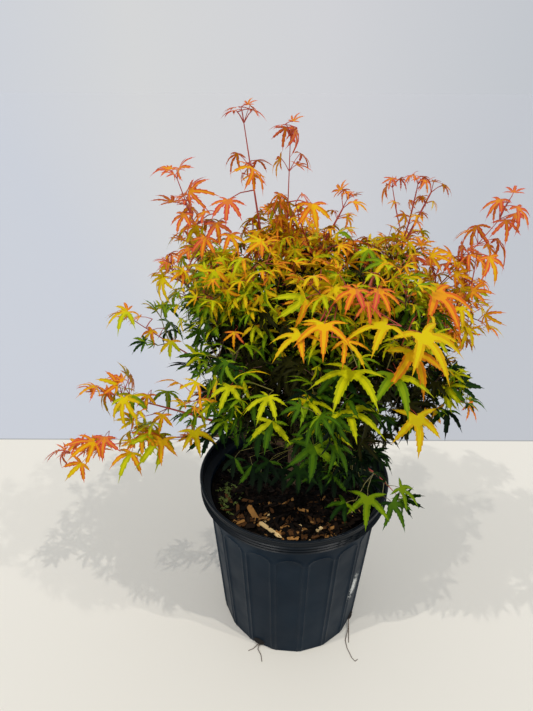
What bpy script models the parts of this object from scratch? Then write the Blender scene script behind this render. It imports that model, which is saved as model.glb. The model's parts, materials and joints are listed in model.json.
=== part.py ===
"""Potted Japanese maple: a young, many-branched maple in a black nursery pot.

Metres, +Z up. The origin is the middle of the pot's flat underside, +X is the plant's right
and -Y its front. The pot and its fill stand under a short trunk, which forks into boughs. Each
bough is one tapering limb, and ends where the leafy mass that it carries begins.
"""

import math
import random
from collections import namedtuple

import bmesh
import bpy
from mathutils import Matrix, Vector
from mathutils.bvhtree import BVHTree

# ---------------------------------------------------------------- pot: driving sizes
POT_HEIGHT = 0.255
LIP_RADIUS = 0.132
LIP_HEIGHT = 0.0235
LIP_ROLL = 0.004
BODY_TOP_RADIUS = 0.1205
BASE_RADIUS = 0.1045
BASE_CHAMFER = 0.003
WALL = 0.0022
FLOOR = 0.0030
POT_SIDES = 32

DRAIN_COUNT = 4
DRAIN_AZIMUTH = math.radians(-118)
DRAIN_WIDTH = 0.016
DRAIN_HEIGHT = 0.010

# ---------------------------------------------------------------- fill
CLEAR = 0.0003
SOIL_TOP = 0.228
SOIL_SEAT_RADIUS = 0.024
SOIL_RIM_DROP = 0.003
SOIL_SIDES = 28
SOIL_RIDGE = 0.0022

# ---------------------------------------------------------------- trunk
TRUNK_FOOT = Vector((0.002, 0.012, SOIL_TOP + CLEAR))
TRUNK_TOP = Vector((-0.006, 0.020, 0.335))
TRUNK_BOW = Vector((0.005, -0.002, 0.0))
TRUNK_RADIUS = 0.0098
TRUNK_TOP_RADIUS = 0.0074
FLARE_RADIUS = 0.0075
FLARE_HEIGHT = 0.011
TRUNK_SIDES = 10
TRUNK_RINGS = 7

# ---------------------------------------------------------------- boughs, twigs and leaves
BOUGH_ROOT_RADIUS = 0.0054
BRANCH_ROOT_RADIUS = 0.0036
TAPER_PER_METRE = 0.0085
THINNEST_BOUGH = 0.0019
BOUGH_SIDES = 6
BOUGH_RINGS = 4

STEM_RINGS = 3
STEM_LEAD = 0.002
STEM_TIP_RADIUS = 0.0016
TWIG_RADIUS = 0.0014
TWIG_TIP_RADIUS = 0.0013
TWIG_SIDES = 3
NODE_STEP = 0.088
TWIG_SPREAD = math.radians(58)
TWIG_LIFT = 0.22
TWIG_REACH = 0.78
TIP_SHARE = 0.55

PETIOLE_LENGTH = 0.024
PETIOLE_ROOT_RADIUS = 0.0005
PETIOLE_RADIUS = 0.0008
SUNK = 0.003
ROOT_JITTER = 0.0003
LEAF_LENGTH = 0.043
LEAF_THICKNESS = 0.0010
LOBE_ANGLES = [math.radians(a) for a in (-104, -52, 0, 52, 104)]
LOBE_LENGTHS = (0.60, 0.90, 1.0, 0.90, 0.60)
NOTCH_DEPTH = 0.34
LOBE_DROOP = 0.28
LEAF_PITCH = (18, 52)
LEAF_ROLL = 22
STALK_LIFT = 0.25
UPRIGHT = 0.2
PAIR_SWAY = 0.3

# Spread of the sizes of stalks, leaves and twigs round their own, and the tries to find room.
STALK_RANGE = (0.8, 1.15)
LEAF_RANGE = (0.92, 1.1)
TWIG_RANGE = (0.8, 1.05)
LEAF_TRIES = 4
LEAF_SHRINK = 0.95
TIP_LEAF_SPREAD = math.radians(50)
TIP_LEAF_SIZE = 0.9
LAST_LEAF_SIZE = 0.8
STEM_LEAF_SPREAD = math.radians(64)
STEM_LEAF_STEP = 0.4
TWIG_TRIES = 4
TWIG_SHRINK = 0.75
ROOT_SHARE = 0.2

SPACE_GIVE = 0.28
NEARBY = 0.16
LIMB_CLEARANCE = 0.0016
POT_CLEARANCE = 0.006
SEED = 7

Mass = namedtuple("Mass", "name parent fork azimuth reach height bow share spread leaf tint")

# One row for each leafy mass and the bough under it. The parent is the trunk or the mass whose
# bough this one leaves, at the share `fork` of that limb. Azimuth in degrees from +X, reach and
# height of the stem's tip in metres, bow of the limb, `share` of the way that the bough takes,
# spread round the stem, and leaf size against LEAF_LENGTH.
MASSES = [
    Mass("leader_left", "trunk", 1.00, 170, 0.064, 0.700, -0.01, 0.58, 0.046, 0.80, "rose"),
    Mass("leader_mid", "leader_left", 0.40, 145, 0.018, 0.688, -0.02, 0.62, 0.044, 0.80, "rose"),
    Mass("crown_top", "leader_left", 0.75, 12, 0.046, 0.615, -0.02, 0.35, 0.092, 0.95, "orange"),
    Mass("upper_left", "trunk", 0.86, 176, 0.136, 0.645, -0.05, 0.52, 0.072, 0.90, "rose"),
    Mass("left_fan", "upper_left", 0.60, 192, 0.135, 0.545, 0.00, 0.30, 0.088, 0.95, "orange"),
    Mass("arm_high", "upper_left", 0.30, 181, 0.200, 0.486, -0.01, 0.50, 0.055, 0.90, "lime"),
    Mass("right_top", "trunk", 0.90, 4, 0.140, 0.632, -0.04, 0.50, 0.080, 0.95, "rose"),
    Mass("right_far", "right_top", 0.55, 6, 0.228, 0.600, -0.04, 0.46, 0.070, 0.90, "rose"),
    Mass("right_side", "right_top", 0.32, -4, 0.195, 0.505, 0.03, 0.45, 0.086, 1.00, "orange"),
    Mass("front_right", "trunk", 0.76, -40, 0.145, 0.530, 0.00, 0.52, 0.090, 1.00, "orange"),
    Mass("front_mid", "front_right", 0.50, -76, 0.118, 0.555, 0.00, 0.48, 0.090, 1.00, "orange"),
    Mass("heart_front", "leader_left", 0.30, -82, 0.050, 0.520, 0.00, 0.20, 0.115, 1.00, "lime"),
    Mass("heart_left", "leader_left", 0.50, 205, 0.082, 0.555, -0.01, 0.32, 0.110, 0.95, "orange"),
    Mass("heart_right", "right_top", 0.30, -16, 0.090, 0.550, -0.02, 0.30, 0.110, 0.95, "lime"),
    Mass("front", "trunk", 0.60, -80, 0.150, 0.470, 0.03, 0.50, 0.090, 1.10, "lime"),
    Mass("front_left", "front", 0.45, -128, 0.128, 0.455, 0.02, 0.35, 0.088, 0.95, "lime"),
    Mass("front_low", "trunk", 0.40, -62, 0.125, 0.375, 0.03, 0.45, 0.080, 1.00, "green"),
    Mass("right_low", "trunk", 0.54, -10, 0.185, 0.415, 0.04, 0.48, 0.088, 1.05, "lime"),
    Mass("rim_sprig", "trunk", 0.28, -28, 0.146, 0.270, 0.07, 0.62, 0.055, 0.95, "green"),
    Mass("arm_mid", "trunk", 0.50, 184, 0.245, 0.392, 0.01, 0.46, 0.055, 0.90, "lime"),
    Mass("arm_low", "arm_mid", 0.40, 186, 0.298, 0.308, 0.02, 0.42, 0.052, 0.95, "orange"),
    Mass("back_mid", "trunk", 0.80, 92, 0.168, 0.570, -0.01, 0.50, 0.100, 1.10, "orange"),
    Mass("back_left", "back_mid", 0.30, 134, 0.190, 0.515, 0.00, 0.45, 0.094, 1.10, "orange"),
    Mass("back_right", "back_mid", 0.45, 48, 0.195, 0.515, 0.02, 0.42, 0.094, 1.10, "lime"),
    Mass("back_low_left", "trunk", 0.46, 122, 0.175, 0.385, 0.03, 0.45, 0.090, 1.15, "green"),
    Mass("back_low_right", "trunk", 0.34, 58, 0.178, 0.390, 0.03, 0.45, 0.090, 1.15, "green"),
]

TINTS = {
    "rose": (0.62, 0.16, 0.10, 1),
    "orange": (0.75, 0.30, 0.06, 1),
    "lime": (0.45, 0.50, 0.05, 1),
    "green": (0.10, 0.22, 0.04, 1),
}


# ---------------------------------------------------------------- scene helpers
def clear_scene():
    for obj in list(bpy.data.objects):
        bpy.data.objects.remove(obj, do_unlink=True)


def new_collection(name):
    collection = bpy.data.collections.new(name)
    bpy.context.scene.collection.children.link(collection)
    return collection


def material(name, color, roughness, metallic=0.0):
    made = bpy.data.materials.new(name)
    made.use_nodes = True
    shader = made.node_tree.nodes["Principled BSDF"]
    shader.inputs["Base Color"].default_value = color
    shader.inputs["Roughness"].default_value = roughness
    shader.inputs["Metallic"].default_value = metallic
    return made


def new_object(name, data, collection):
    obj = bpy.data.objects.new(name, data)
    collection.objects.link(obj)
    return obj


def evaluated_mesh(obj):
    """The object's mesh with its modifiers or bevel applied."""
    graph = bpy.context.evaluated_depsgraph_get()
    return bpy.data.meshes.new_from_object(obj.evaluated_get(graph))


def weld_caps(mesh):
    bm = bmesh.new()
    bm.from_mesh(mesh)
    bmesh.ops.remove_doubles(bm, verts=bm.verts, dist=0.00001)
    bmesh.ops.triangulate(bm, faces=bm.faces)
    bmesh.ops.recalc_face_normals(bm, faces=bm.faces)
    bm.to_mesh(mesh)
    bm.free()


def cut(obj, cutter, operation="DIFFERENCE"):
    modifier = obj.modifiers.new(cutter.name, "BOOLEAN")
    modifier.operation = operation
    modifier.object = cutter
    modifier.solver = "EXACT"


def apply_modifiers(obj):
    old = obj.data
    mesh = evaluated_mesh(obj)
    obj.modifiers.clear()
    obj.data = mesh
    bpy.data.meshes.remove(old)


def turned(name, profile, sides, collection):
    """A solid turned round Z from a profile of (radius, height), down its outer side."""
    mesh = bpy.data.meshes.new(name)
    edges = [(i, i + 1) for i in range(len(profile) - 1)]
    mesh.from_pydata([(r, 0, z) for r, z in profile], edges, [])
    obj = new_object(name, mesh, collection)
    screw = obj.modifiers.new("Turn", "SCREW")
    screw.steps = screw.render_steps = sides
    screw.use_merge_vertices = True
    screw.merge_threshold = 0.0001
    screw.use_smooth_shade = False
    return obj


# ---------------------------------------------------------------- pot and fill
def body_radius(z):
    """Outer radius of the pot's body, which tapers evenly from the lip to the base."""
    body_top = POT_HEIGHT - LIP_HEIGHT
    return BASE_RADIUS + (BODY_TOP_RADIUS - BASE_RADIUS) * z / body_top


def pot_profile():
    body_top = POT_HEIGHT - LIP_HEIGHT
    lip_mid = LIP_RADIUS - LIP_ROLL / 2
    return [
        (0, FLOOR),
        (body_radius(FLOOR) - WALL, FLOOR),
        (BODY_TOP_RADIUS - WALL, body_top),
        (lip_mid - WALL, body_top + LIP_ROLL),
        (LIP_RADIUS - LIP_ROLL, POT_HEIGHT),
        (LIP_RADIUS - LIP_ROLL / 3, POT_HEIGHT - LIP_ROLL / 4),
        (LIP_RADIUS, POT_HEIGHT - LIP_ROLL),
        (lip_mid, body_top + WALL),
        (lip_mid, body_top),
        (BODY_TOP_RADIUS, body_top),
        (BASE_RADIUS + BASE_CHAMFER / 3, BASE_CHAMFER),
        (BASE_RADIUS - BASE_CHAMFER, 0),
        (0, 0),
    ]


def drain_cutter(index, cutters):
    """An arch-topped block through the foot of the wall, at one of the evenly spaced holes."""
    azimuth = DRAIN_AZIMUTH + index * 2 * math.pi / DRAIN_COUNT
    bm = bmesh.new()
    bmesh.ops.create_cone(
        bm,
        cap_ends=True,
        segments=8,
        radius1=DRAIN_WIDTH / 2,
        radius2=DRAIN_WIDTH / 2,
        depth=0.02,
        matrix=Matrix.Rotation(math.pi / 2, 4, "Y"),
    )
    bmesh.ops.scale(bm, vec=(1, 1, 2 * DRAIN_HEIGHT / DRAIN_WIDTH), verts=bm.verts)
    mesh = bpy.data.meshes.new(f"drain_cutter_{index}")
    bm.to_mesh(mesh)
    bm.free()
    obj = new_object(mesh.name, mesh, cutters)
    obj.location = (BASE_RADIUS * math.cos(azimuth), BASE_RADIUS * math.sin(azimuth), FLOOR)
    obj.rotation_euler = (0, 0, azimuth)
    obj.hide_render = True
    obj.display_type = "WIRE"
    return obj


def build_pot(collection, cutters):
    pot = turned("pot", pot_profile(), POT_SIDES, collection)
    pot.data.materials.append(material("pot_plastic", (0.022, 0.027, 0.035, 1), 0.5))
    for index in range(DRAIN_COUNT):
        cut(pot, drain_cutter(index, cutters))


def build_soil(collection):
    inner = WALL + CLEAR
    body_top = POT_HEIGHT - LIP_HEIGHT
    rim_z = SOIL_TOP - SOIL_RIM_DROP
    wide = (BODY_TOP_RADIUS - BASE_RADIUS) / body_top
    wall_top = BASE_RADIUS + wide * rim_z - inner - CLEAR
    profile = [
        (0, SOIL_TOP),
        (SOIL_SEAT_RADIUS, SOIL_TOP),
        (0.45 * wall_top, SOIL_TOP - SOIL_RIM_DROP / 3),
        (0.75 * wall_top, SOIL_TOP - SOIL_RIM_DROP / 2),
        (wall_top, rim_z),
        (body_radius(FLOOR) - inner - CLEAR, FLOOR + CLEAR),
        (0, FLOOR + CLEAR),
    ]
    soil = turned("soil", profile, SOIL_SIDES, collection)
    soil.data.materials.append(material("bark_mix", (0.09, 0.055, 0.035, 1), 0.95))
    apply_modifiers(soil)
    ridges = random.Random(SEED)
    for vertex in soil.data.vertices:
        radius = math.hypot(vertex.co.x, vertex.co.y)
        if vertex.co.z > rim_z - CLEAR and SOIL_SEAT_RADIUS * 1.1 < radius < wall_top * 0.95:
            vertex.co.z += ridges.uniform(-SOIL_RIDGE, SOIL_RIDGE)


# ---------------------------------------------------------------- limbs
def bezier(start, control, end, t):
    return start * (1 - t) ** 2 + control * 2 * t * (1 - t) + end * t**2


def trunk_point(t):
    return bezier(TRUNK_FOOT, (TRUNK_FOOT + TRUNK_TOP) / 2 + TRUNK_BOW, TRUNK_TOP, t)


def trunk_radius(t):
    height = t * (TRUNK_TOP.z - TRUNK_FOOT.z)
    flare = FLARE_RADIUS * math.exp(-height / FLARE_HEIGHT)
    return TRUNK_RADIUS + (TRUNK_TOP_RADIUS - TRUNK_RADIUS) * t + flare


class Limb:
    """One tapering path: a bough for t up to `share`, and the stem of its mass beyond that."""

    def __init__(self, mass, limbs):
        self.mass = mass
        self.main = mass.parent == "trunk"
        self.start = trunk_point(mass.fork)
        if not self.main:
            parent = limbs[mass.parent]
            self.start = parent.point(mass.fork * parent.mass.share)
        azimuth = math.radians(mass.azimuth)
        out = Vector((math.cos(azimuth), math.sin(azimuth), 0))
        self.tip = out * mass.reach + Vector((0, 0, mass.height))
        self.control = (self.start + self.tip) / 2 + Vector((0, 0, mass.bow))
        self.length = (self.tip - self.start).length
        self.bough_ts = self.samples(0, mass.share, BOUGH_RINGS)
        self.stem_ts = self.samples(mass.share, 1, STEM_RINGS)

    def point(self, t):
        return bezier(self.start, self.control, self.tip, t)

    def stem_point(self, t):
        """A point on the stem's own straight stretches."""
        for first, last in zip(self.stem_ts, self.stem_ts[1:]):
            if t <= last:
                return self.point(first).lerp(self.point(last), (t - first) / (last - first))
        return self.tip

    def stem_knots(self):
        """The stem's points: it starts square to the bough's end, and just clear of it."""
        before, end = (self.point(t) for t in self.bough_ts[-2:])
        way = (end - before).normalized()
        square = [end + way * CLEAR, end + way * (CLEAR + STEM_LEAD)]
        return square + [self.point(t) for t in self.stem_ts[1:]]

    def direction(self, t):
        return (self.point(t + 0.01) - self.point(t - 0.01)).normalized()

    def radius(self, t):
        root = BOUGH_ROOT_RADIUS if self.main else BRANCH_ROOT_RADIUS
        if t <= self.mass.share:
            return max(root - TAPER_PER_METRE * t * self.length, THINNEST_BOUGH)
        start = self.radius(self.mass.share)
        along = (t - self.mass.share) / (1 - self.mass.share)
        return start + (STEM_TIP_RADIUS - start) * along

    @staticmethod
    def samples(first, last, count):
        return [first + (last - first) * i / count for i in range(count + 1)]


def all_limbs():
    limbs = {}
    for mass in MASSES:
        limbs[mass.name] = Limb(mass, limbs)
    return limbs


def ring_profile(sides, cutters):
    """A unit polygon that a path's bevel sweeps."""
    curve = bpy.data.curves.new(f"ring_{sides}", "CURVE")
    spline = curve.splines.new("POLY")
    spline.points.add(sides - 1)
    for i, point in enumerate(spline.points):
        turn = 2 * math.pi * i / sides
        point.co = (math.cos(turn), math.sin(turn), 0, 1)
    spline.use_cyclic_u = True
    obj = new_object(curve.name, curve, cutters)
    obj.hide_render = True
    return obj


def tube(name, points, radii, profile, collection):
    """A tapering tube with flat ends along the points, as a closed mesh object."""
    curve = bpy.data.curves.new(name, "CURVE")
    curve.dimensions = "3D"
    curve.bevel_mode = "OBJECT"
    curve.bevel_object = profile
    curve.use_fill_caps = True
    spline = curve.splines.new("POLY")
    spline.points.add(len(points) - 1)
    for knot, place, radius in zip(spline.points, points, radii):
        knot.co = (*place, 1)
        knot.radius = radius
    path = new_object(name, curve, collection)
    bpy.context.view_layer.update()
    mesh = evaluated_mesh(path)
    weld_caps(mesh)
    bpy.data.objects.remove(path, do_unlink=True)
    bpy.data.curves.remove(curve)
    return new_object(name, mesh, collection)


def build_trunk(collection, cutters, profile, wood):
    ts = [(i / (TRUNK_RINGS - 1)) ** 1.5 for i in range(TRUNK_RINGS)]
    points = [trunk_point(t) for t in ts]
    points[1] = Vector((points[0].x, points[0].y, points[1].z))
    trunk = tube("trunk", points, [trunk_radius(t) for t in ts], profile, collection)
    trunk.data.materials.append(wood)
    ahead = points + [points[-1] + (points[-1] - points[-2]).normalized() * CLEAR]
    wide = [trunk_radius(t) + 2 * CLEAR for t in ts + [1]]
    cutter = tube("trunk_cutter", ahead, wide, profile, cutters)
    cutter.hide_render = True
    cutter.display_type = "WIRE"
    return cutter


def build_bough(limb, trunk_cutter, collection, cutters, profile, wood):
    mass = limb.mass
    points = [limb.point(t) for t in limb.bough_ts]
    radii = [limb.radius(t) for t in limb.bough_ts]
    bough = tube(f"bough_{mass.name}", points, radii, profile, collection)
    cutter = tube(f"cutter_{mass.name}", points, [r + 2 * CLEAR for r in radii], profile, cutters)
    cutter.hide_render = True
    cutter.display_type = "WIRE"
    cut(bough, trunk_cutter if limb.main else bpy.data.objects[f"cutter_{mass.parent}"])
    for sibling in MASSES[: MASSES.index(mass)]:
        if sibling.parent == mass.parent:
            cut(bough, bpy.data.objects[f"cutter_{sibling.name}"])
    apply_modifiers(bough)
    keep_one_body(bough.data)
    bough.data.materials.append(wood)


# ---------------------------------------------------------------- the space of each mass
def segment_distance(point, first, last):
    along = last - first
    share = max(0.0, min(1.0, (point - first).dot(along) / along.length_squared))
    return (point - first - along * share).length


def path_distance(point, places):
    return min(segment_distance(point, a, b) for a, b in zip(places, places[1:]))


class Space:
    """The room that each mass keeps to: what is nearest to its own stem, within its spread.

    The border to the next mass gives a little, and no leaf crosses another there.
    """

    def __init__(self, limbs):
        self.stems = {}
        self.boughs = {}
        for name, limb in limbs.items():
            self.stems[name] = [limb.point(t) for t in limb.stem_ts]
            self.boughs[name] = [(limb.point(t), limb.radius(t)) for t in limb.bough_ts]
        steps = range(TRUNK_RINGS)
        self.boughs["trunk"] = [
            (trunk_point(i / TRUNK_RINGS), trunk_radius(i / TRUNK_RINGS)) for i in steps
        ]
        self.spread = {name: limb.mass.spread for name, limb in limbs.items()}

    def nearness(self, name, point):
        return path_distance(point, self.stems[name]) / self.spread[name]

    def holds(self, name, point):
        own = self.nearness(name, point)
        if own > 1 or in_pot(point):
            return False
        return all(
            own - SPACE_GIVE < self.nearness(other, point) for other in self.stems if other != name
        )

    def near_limb(self, point, clearance=LIMB_CLEARANCE):
        for places in self.boughs.values():
            for (a, radius_a), (b, radius_b) in zip(places, places[1:]):
                if segment_distance(point, a, b) < max(radius_a, radius_b) + clearance:
                    return True
        return False

    def takes(self, name, points):
        return all(self.holds(name, p) and not self.near_limb(p) for p in points)


def in_pot(point):
    """Whether the point is in or too near the pot, its fill or the ground."""
    radius = math.hypot(point.x, point.y)
    if radius > LIP_RADIUS + POT_CLEARANCE:
        return point.z < POT_CLEARANCE
    over_lip = radius > BODY_TOP_RADIUS - 2 * POT_CLEARANCE
    return point.z < (POT_HEIGHT if over_lip else SOIL_TOP) + POT_CLEARANCE


# ---------------------------------------------------------------- twigs and leaves
Leaf = namedtuple("Leaf", "root neck forward up length")
Twig = namedtuple("Twig", "start end")


def leaf_points(leaf):
    """Outline of the blade, lobe tips and notches in turn, from one side of the stalk round."""
    side = leaf.forward.cross(leaf.up).normalized()
    points = []
    for i, (angle, share) in enumerate(zip(LOBE_ANGLES, LOBE_LENGTHS)):
        if i:
            notch = (angle + LOBE_ANGLES[i - 1]) / 2
            points.append((notch, NOTCH_DEPTH))
        points.append((angle, share))
    return [
        leaf.neck
        + (leaf.forward * math.cos(angle) + side * math.sin(angle)) * share * leaf.length
        - leaf.up * LOBE_DROOP * leaf.length * share**2
        for angle, share in points
    ]


def crest_of(leaf):
    """From the end of the stalk to the thickest point of the blade."""
    return (leaf.up - leaf.forward) * LEAF_THICKNESS


def leaf_shape(leaf, root_share=0.0):
    """Points and faces of a lobed blade, thickest at the stalk, on a three-sided stalk.

    The stalk starts `root_share` of the way out from the leaf's root.
    """
    side = leaf.forward.cross(leaf.up).normalized()
    crest = crest_of(leaf)
    stalk = (leaf.neck - leaf.root).normalized()
    rise = side.cross(stalk).normalized()
    rise *= math.copysign(PETIOLE_ROOT_RADIUS, rise.dot(crest))
    start = leaf.root.lerp(leaf.neck, root_share)
    half = side * PETIOLE_ROOT_RADIUS
    wide = side * PETIOLE_RADIUS
    places = [start - half, start + rise, start + half]
    places += [leaf.neck - wide, leaf.neck + crest, leaf.neck + wide]
    outline = leaf_points(leaf)
    places += outline
    left, top, right = 3, 4, 5
    rim = list(range(6, len(places)))
    middle = len(rim) // 2
    faces = [(0, 1, 2)]
    faces += [(i, (i - 1) % 3, 3 + (i - 1) % 3, 3 + i) for i in range(3)]
    edge = [left] + rim + [right]
    faces += [(top, a, b) for a, b in zip(edge, edge[1:])]
    faces += [(left, b, a) for a, b in zip(rim[:middle], rim[1:])]
    faces += [(left, right, rim[middle])]
    faces += [(right, b, a) for a, b in zip(rim[middle:], rim[middle + 1 :])]
    return places, faces


def leaf_mesh(leaf, name):
    places, faces = leaf_shape(leaf)
    bm = bmesh.new()
    corners = [bm.verts.new(place) for place in places]
    for face in faces:
        bm.faces.new([corners[i] for i in face])
    bmesh.ops.triangulate(bm, faces=bm.faces)
    bmesh.ops.recalc_face_normals(bm, faces=bm.faces)
    mesh = bpy.data.meshes.new(name)
    bm.to_mesh(mesh)
    bm.free()
    return mesh


def rod_shape(start, end, radius):
    """Points and faces of a three-sided rod round the line between two points."""
    first = (end - start).orthogonal().normalized() * radius
    corners = [Matrix.Rotation(2 * math.pi * i / 3, 3, end - start) @ first for i in range(3)]
    places = [start + corner for corner in corners] + [end + corner for corner in corners]
    return places, [(i, (i + 1) % 3, 3 + (i + 1) % 3, 3 + i) for i in range(3)]


class Grown:
    """What has grown so far, to test whether a new twig or leaf would cross it."""

    def __init__(self, limbs):
        self.things = []
        for limb in limbs.values():
            knots = limb.stem_knots()
            for a, b in zip(knots, knots[1:]):
                self.add(limb.mass.name, "stem", a.lerp(b, 0.5), rod_shape(a, b, TWIG_RADIUS))

    def add(self, owner, kind, middle, shape):
        self.things.append((owner, kind, middle, BVHTree.FromPolygons(*shape)))

    def free(self, owner, middle, shape, own_kinds):
        """Whether the shape crosses nothing of another mass, nor of its own of these kinds."""
        tree = BVHTree.FromPolygons(*shape)
        for other, kind, place, grown in self.things:
            if other == owner and kind not in own_kinds:
                continue
            if (place - middle).length < NEARBY and tree.overlap(grown):
                return False
        return True


def make_leaf(rng, root, outward, length):
    """A leaf whose stalk leaves `root` outward, and whose blade faces up and droops outward."""
    flat = Vector((outward.x, outward.y, 0))
    if flat.length < UPRIGHT:
        turn = rng.uniform(0, 2 * math.pi)
        flat = Vector((math.cos(turn), math.sin(turn), 0))
    flat.normalize()
    stalk = (outward + Vector((0, 0, STALK_LIFT))).normalized()
    root = root + stalk * rng.uniform(-ROOT_JITTER, ROOT_JITTER)
    neck = root + stalk * PETIOLE_LENGTH * rng.uniform(*STALK_RANGE)
    pitch = math.radians(rng.uniform(*LEAF_PITCH))
    forward = flat * math.cos(pitch) + Vector((0, 0, -math.sin(pitch)))
    side = forward.cross(Vector((0, 0, 1))).normalized()
    roll = Matrix.Rotation(math.radians(rng.uniform(-LEAF_ROLL, LEAF_ROLL)), 3, forward)
    up = roll @ side.cross(forward).normalized()
    return Leaf(root, neck, forward, up, length)


def pair_directions(rng, along, turn):
    """Two opposite directions across the path, turned a quarter from one pair to the next."""
    across = along.orthogonal().normalized()
    across.rotate(Matrix.Rotation(turn + rng.uniform(-PAIR_SWAY, PAIR_SWAY), 3, along))
    return across, -across


def tilt_from(along, across, spread):
    return (along * math.cos(spread) + across * math.sin(spread)).normalized()


def grow(limb, space, grown):
    """The twigs and leaves of one mass: opposite pairs along the stem, and a pair at each tip."""
    mass = limb.mass
    rng = random.Random(f"{SEED} {mass.name}")
    twigs, leaves = [], []
    size = LEAF_LENGTH * mass.leaf

    def try_leaf(root, outward, scale=1.0):
        """Adds the first of a few leaves at this place that has room for its whole blade."""
        for attempt in range(LEAF_TRIES):
            length = size * scale * rng.uniform(*LEAF_RANGE) * LEAF_SHRINK**attempt
            leaf = make_leaf(rng, root, outward, length)
            outline = leaf_points(leaf)
            along_lobes = [leaf.neck.lerp(tip, 0.55) for tip in outline[::2]]
            stalk = [leaf.root.lerp(leaf.neck, 0.6), leaf.neck]
            if not space.takes(mass.name, outline + along_lobes + stalk):
                continue
            shape = leaf_shape(leaf, ROOT_SHARE)
            if grown.free(mass.name, leaf.neck, shape, ("twig", "leaf")):
                leaves.append(leaf)
                grown.add(mass.name, "leaf", leaf.neck, shape)
                return

    def twig_end(start, way, reach):
        """The end of a twig that keeps to the mass's space, drawn in as far as that needs."""
        for attempt in range(TWIG_TRIES):
            length = reach * TWIG_SHRINK**attempt
            end = start + way * length + Vector((0, 0, TWIG_LIFT * length))
            clear = space.takes(mass.name, [start.lerp(end, 0.6), end])
            rod = rod_shape(start, end, TWIG_RADIUS)
            if clear and grown.free(mass.name, start.lerp(end, 0.5), rod, ("leaf",)):
                return end
        return None

    def add_twig(start, end):
        twigs.append(Twig(start, end))
        rod = rod_shape(start, end, TWIG_RADIUS)
        grown.add(mass.name, "twig", start.lerp(end, 0.5), rod)

    def tip_leaves(end, along, turn):
        root = end - along * SUNK
        for across in pair_directions(rng, along, turn):
            try_leaf(root, tilt_from(along, across, TIP_LEAF_SPREAD), TIP_LEAF_SIZE)
        try_leaf(root, along, LAST_LEAF_SIZE)

    stem_length = limb.length * (1 - mass.share)
    count = max(2, round(stem_length / (NODE_STEP * mass.leaf)))
    turn = rng.uniform(0, math.pi)
    tip_leaves(limb.tip, limb.direction(0.99), turn)
    for i in range(count):
        t = mass.share + (1 - mass.share) * (i + 0.5) / count
        start, along = limb.stem_point(t), limb.direction(t)
        turn += math.pi / 2
        taper = 1 - (1 - TIP_SHARE) * (i + 0.5) / count
        for across in pair_directions(rng, along, turn):
            way = tilt_from(along, across, TWIG_SPREAD)
            reach = mass.spread * TWIG_REACH * taper * rng.uniform(*TWIG_RANGE)
            end = twig_end(start, way, reach)
            if end is None:
                try_leaf(start, way)
                continue
            add_twig(start, end)
            outward = (end - start).normalized()
            tip_leaves(end, outward, turn)
            for side in pair_directions(rng, outward, turn + math.pi / 2):
                try_leaf(start.lerp(end, 0.5), tilt_from(outward, side, STEM_LEAF_SPREAD))
        between = limb.stem_point(t + STEM_LEAF_STEP * (1 - mass.share) / count)
        across, _ = pair_directions(rng, along, turn + math.pi / 2)
        try_leaf(between, tilt_from(along, across, STEM_LEAF_SPREAD))
    return twigs, leaves


def remove_collection(collection):
    for obj in list(collection.objects):
        mesh = obj.data
        bpy.data.objects.remove(obj, do_unlink=True)
        bpy.data.meshes.remove(mesh)
    bpy.data.collections.remove(collection)


def keep_one_body(mesh):
    """Drops loose scraps, and fills sealed hollows by dropping their inner walls."""
    bm = bmesh.new()
    bm.from_mesh(mesh)
    bmesh.ops.triangulate(bm, faces=bm.faces, ngon_method="EAR_CLIP")
    left = set(bm.faces)
    bodies = []
    while left:
        first = left.pop()
        body, reached = {first}, [first]
        while reached:
            for edge in reached.pop().edges:
                beyond = left.intersection(edge.link_faces)
                left -= beyond
                body |= beyond
                reached.extend(beyond)
        bodies.append(body)
    bodies.sort(key=len)
    for body in bodies[:-1]:
        bmesh.ops.delete(bm, geom=list(body), context="FACES")
    bm.to_mesh(mesh)
    bm.free()


def build_mass(limb, space, grown, collection, profile, tint):
    mass = limb.mass
    radii = [limb.radius(t) for t in [mass.share] + limb.stem_ts]
    stem = tube(mass.name, limb.stem_knots(), radii, profile, collection)
    growth = new_collection(f"growth_{mass.name}")
    twigs, leaves = grow(limb, space, grown)
    for twig in twigs:
        tube("twig", list(twig), (TWIG_RADIUS, TWIG_TIP_RADIUS), profile, growth)
    for leaf in leaves:
        new_object("leaf", leaf_mesh(leaf, "leaf"), growth)
    join = stem.modifiers.new("Fuse", "BOOLEAN")
    join.operation = "UNION"
    join.operand_type = "COLLECTION"
    join.collection = growth
    join.solver = "MANIFOLD"
    apply_modifiers(stem)
    remove_collection(growth)
    keep_one_body(stem.data)
    stem.data.materials.clear()
    stem.data.materials.append(tint)
    return len(leaves)


def main():
    clear_scene()
    plant = new_collection("potted_japanese_maple")
    cutters = new_collection("cutters")
    build_pot(plant, cutters)
    build_soil(plant)
    wood = material("bark", (0.20, 0.12, 0.08, 1), 0.8)
    tints = {name: material(f"leaf_{name}", color, 0.5) for name, color in TINTS.items()}
    trunk_cutter = build_trunk(plant, cutters, ring_profile(TRUNK_SIDES, cutters), wood)
    limbs = all_limbs()
    round_ring = ring_profile(BOUGH_SIDES, cutters)
    for limb in limbs.values():
        build_bough(limb, trunk_cutter, plant, cutters, round_ring, wood)
    space = Space(limbs)
    grown = Grown(limbs)
    three_sided = ring_profile(TWIG_SIDES, cutters)
    for limb in limbs.values():
        build_mass(limb, space, grown, plant, three_sided, tints[limb.mass.tint])


main()
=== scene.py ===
import json
import math
import random
from collections import namedtuple
from itertools import chain, product

import bmesh
import bpy
import numpy as np
from mathutils import Matrix, Vector, noise

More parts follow.
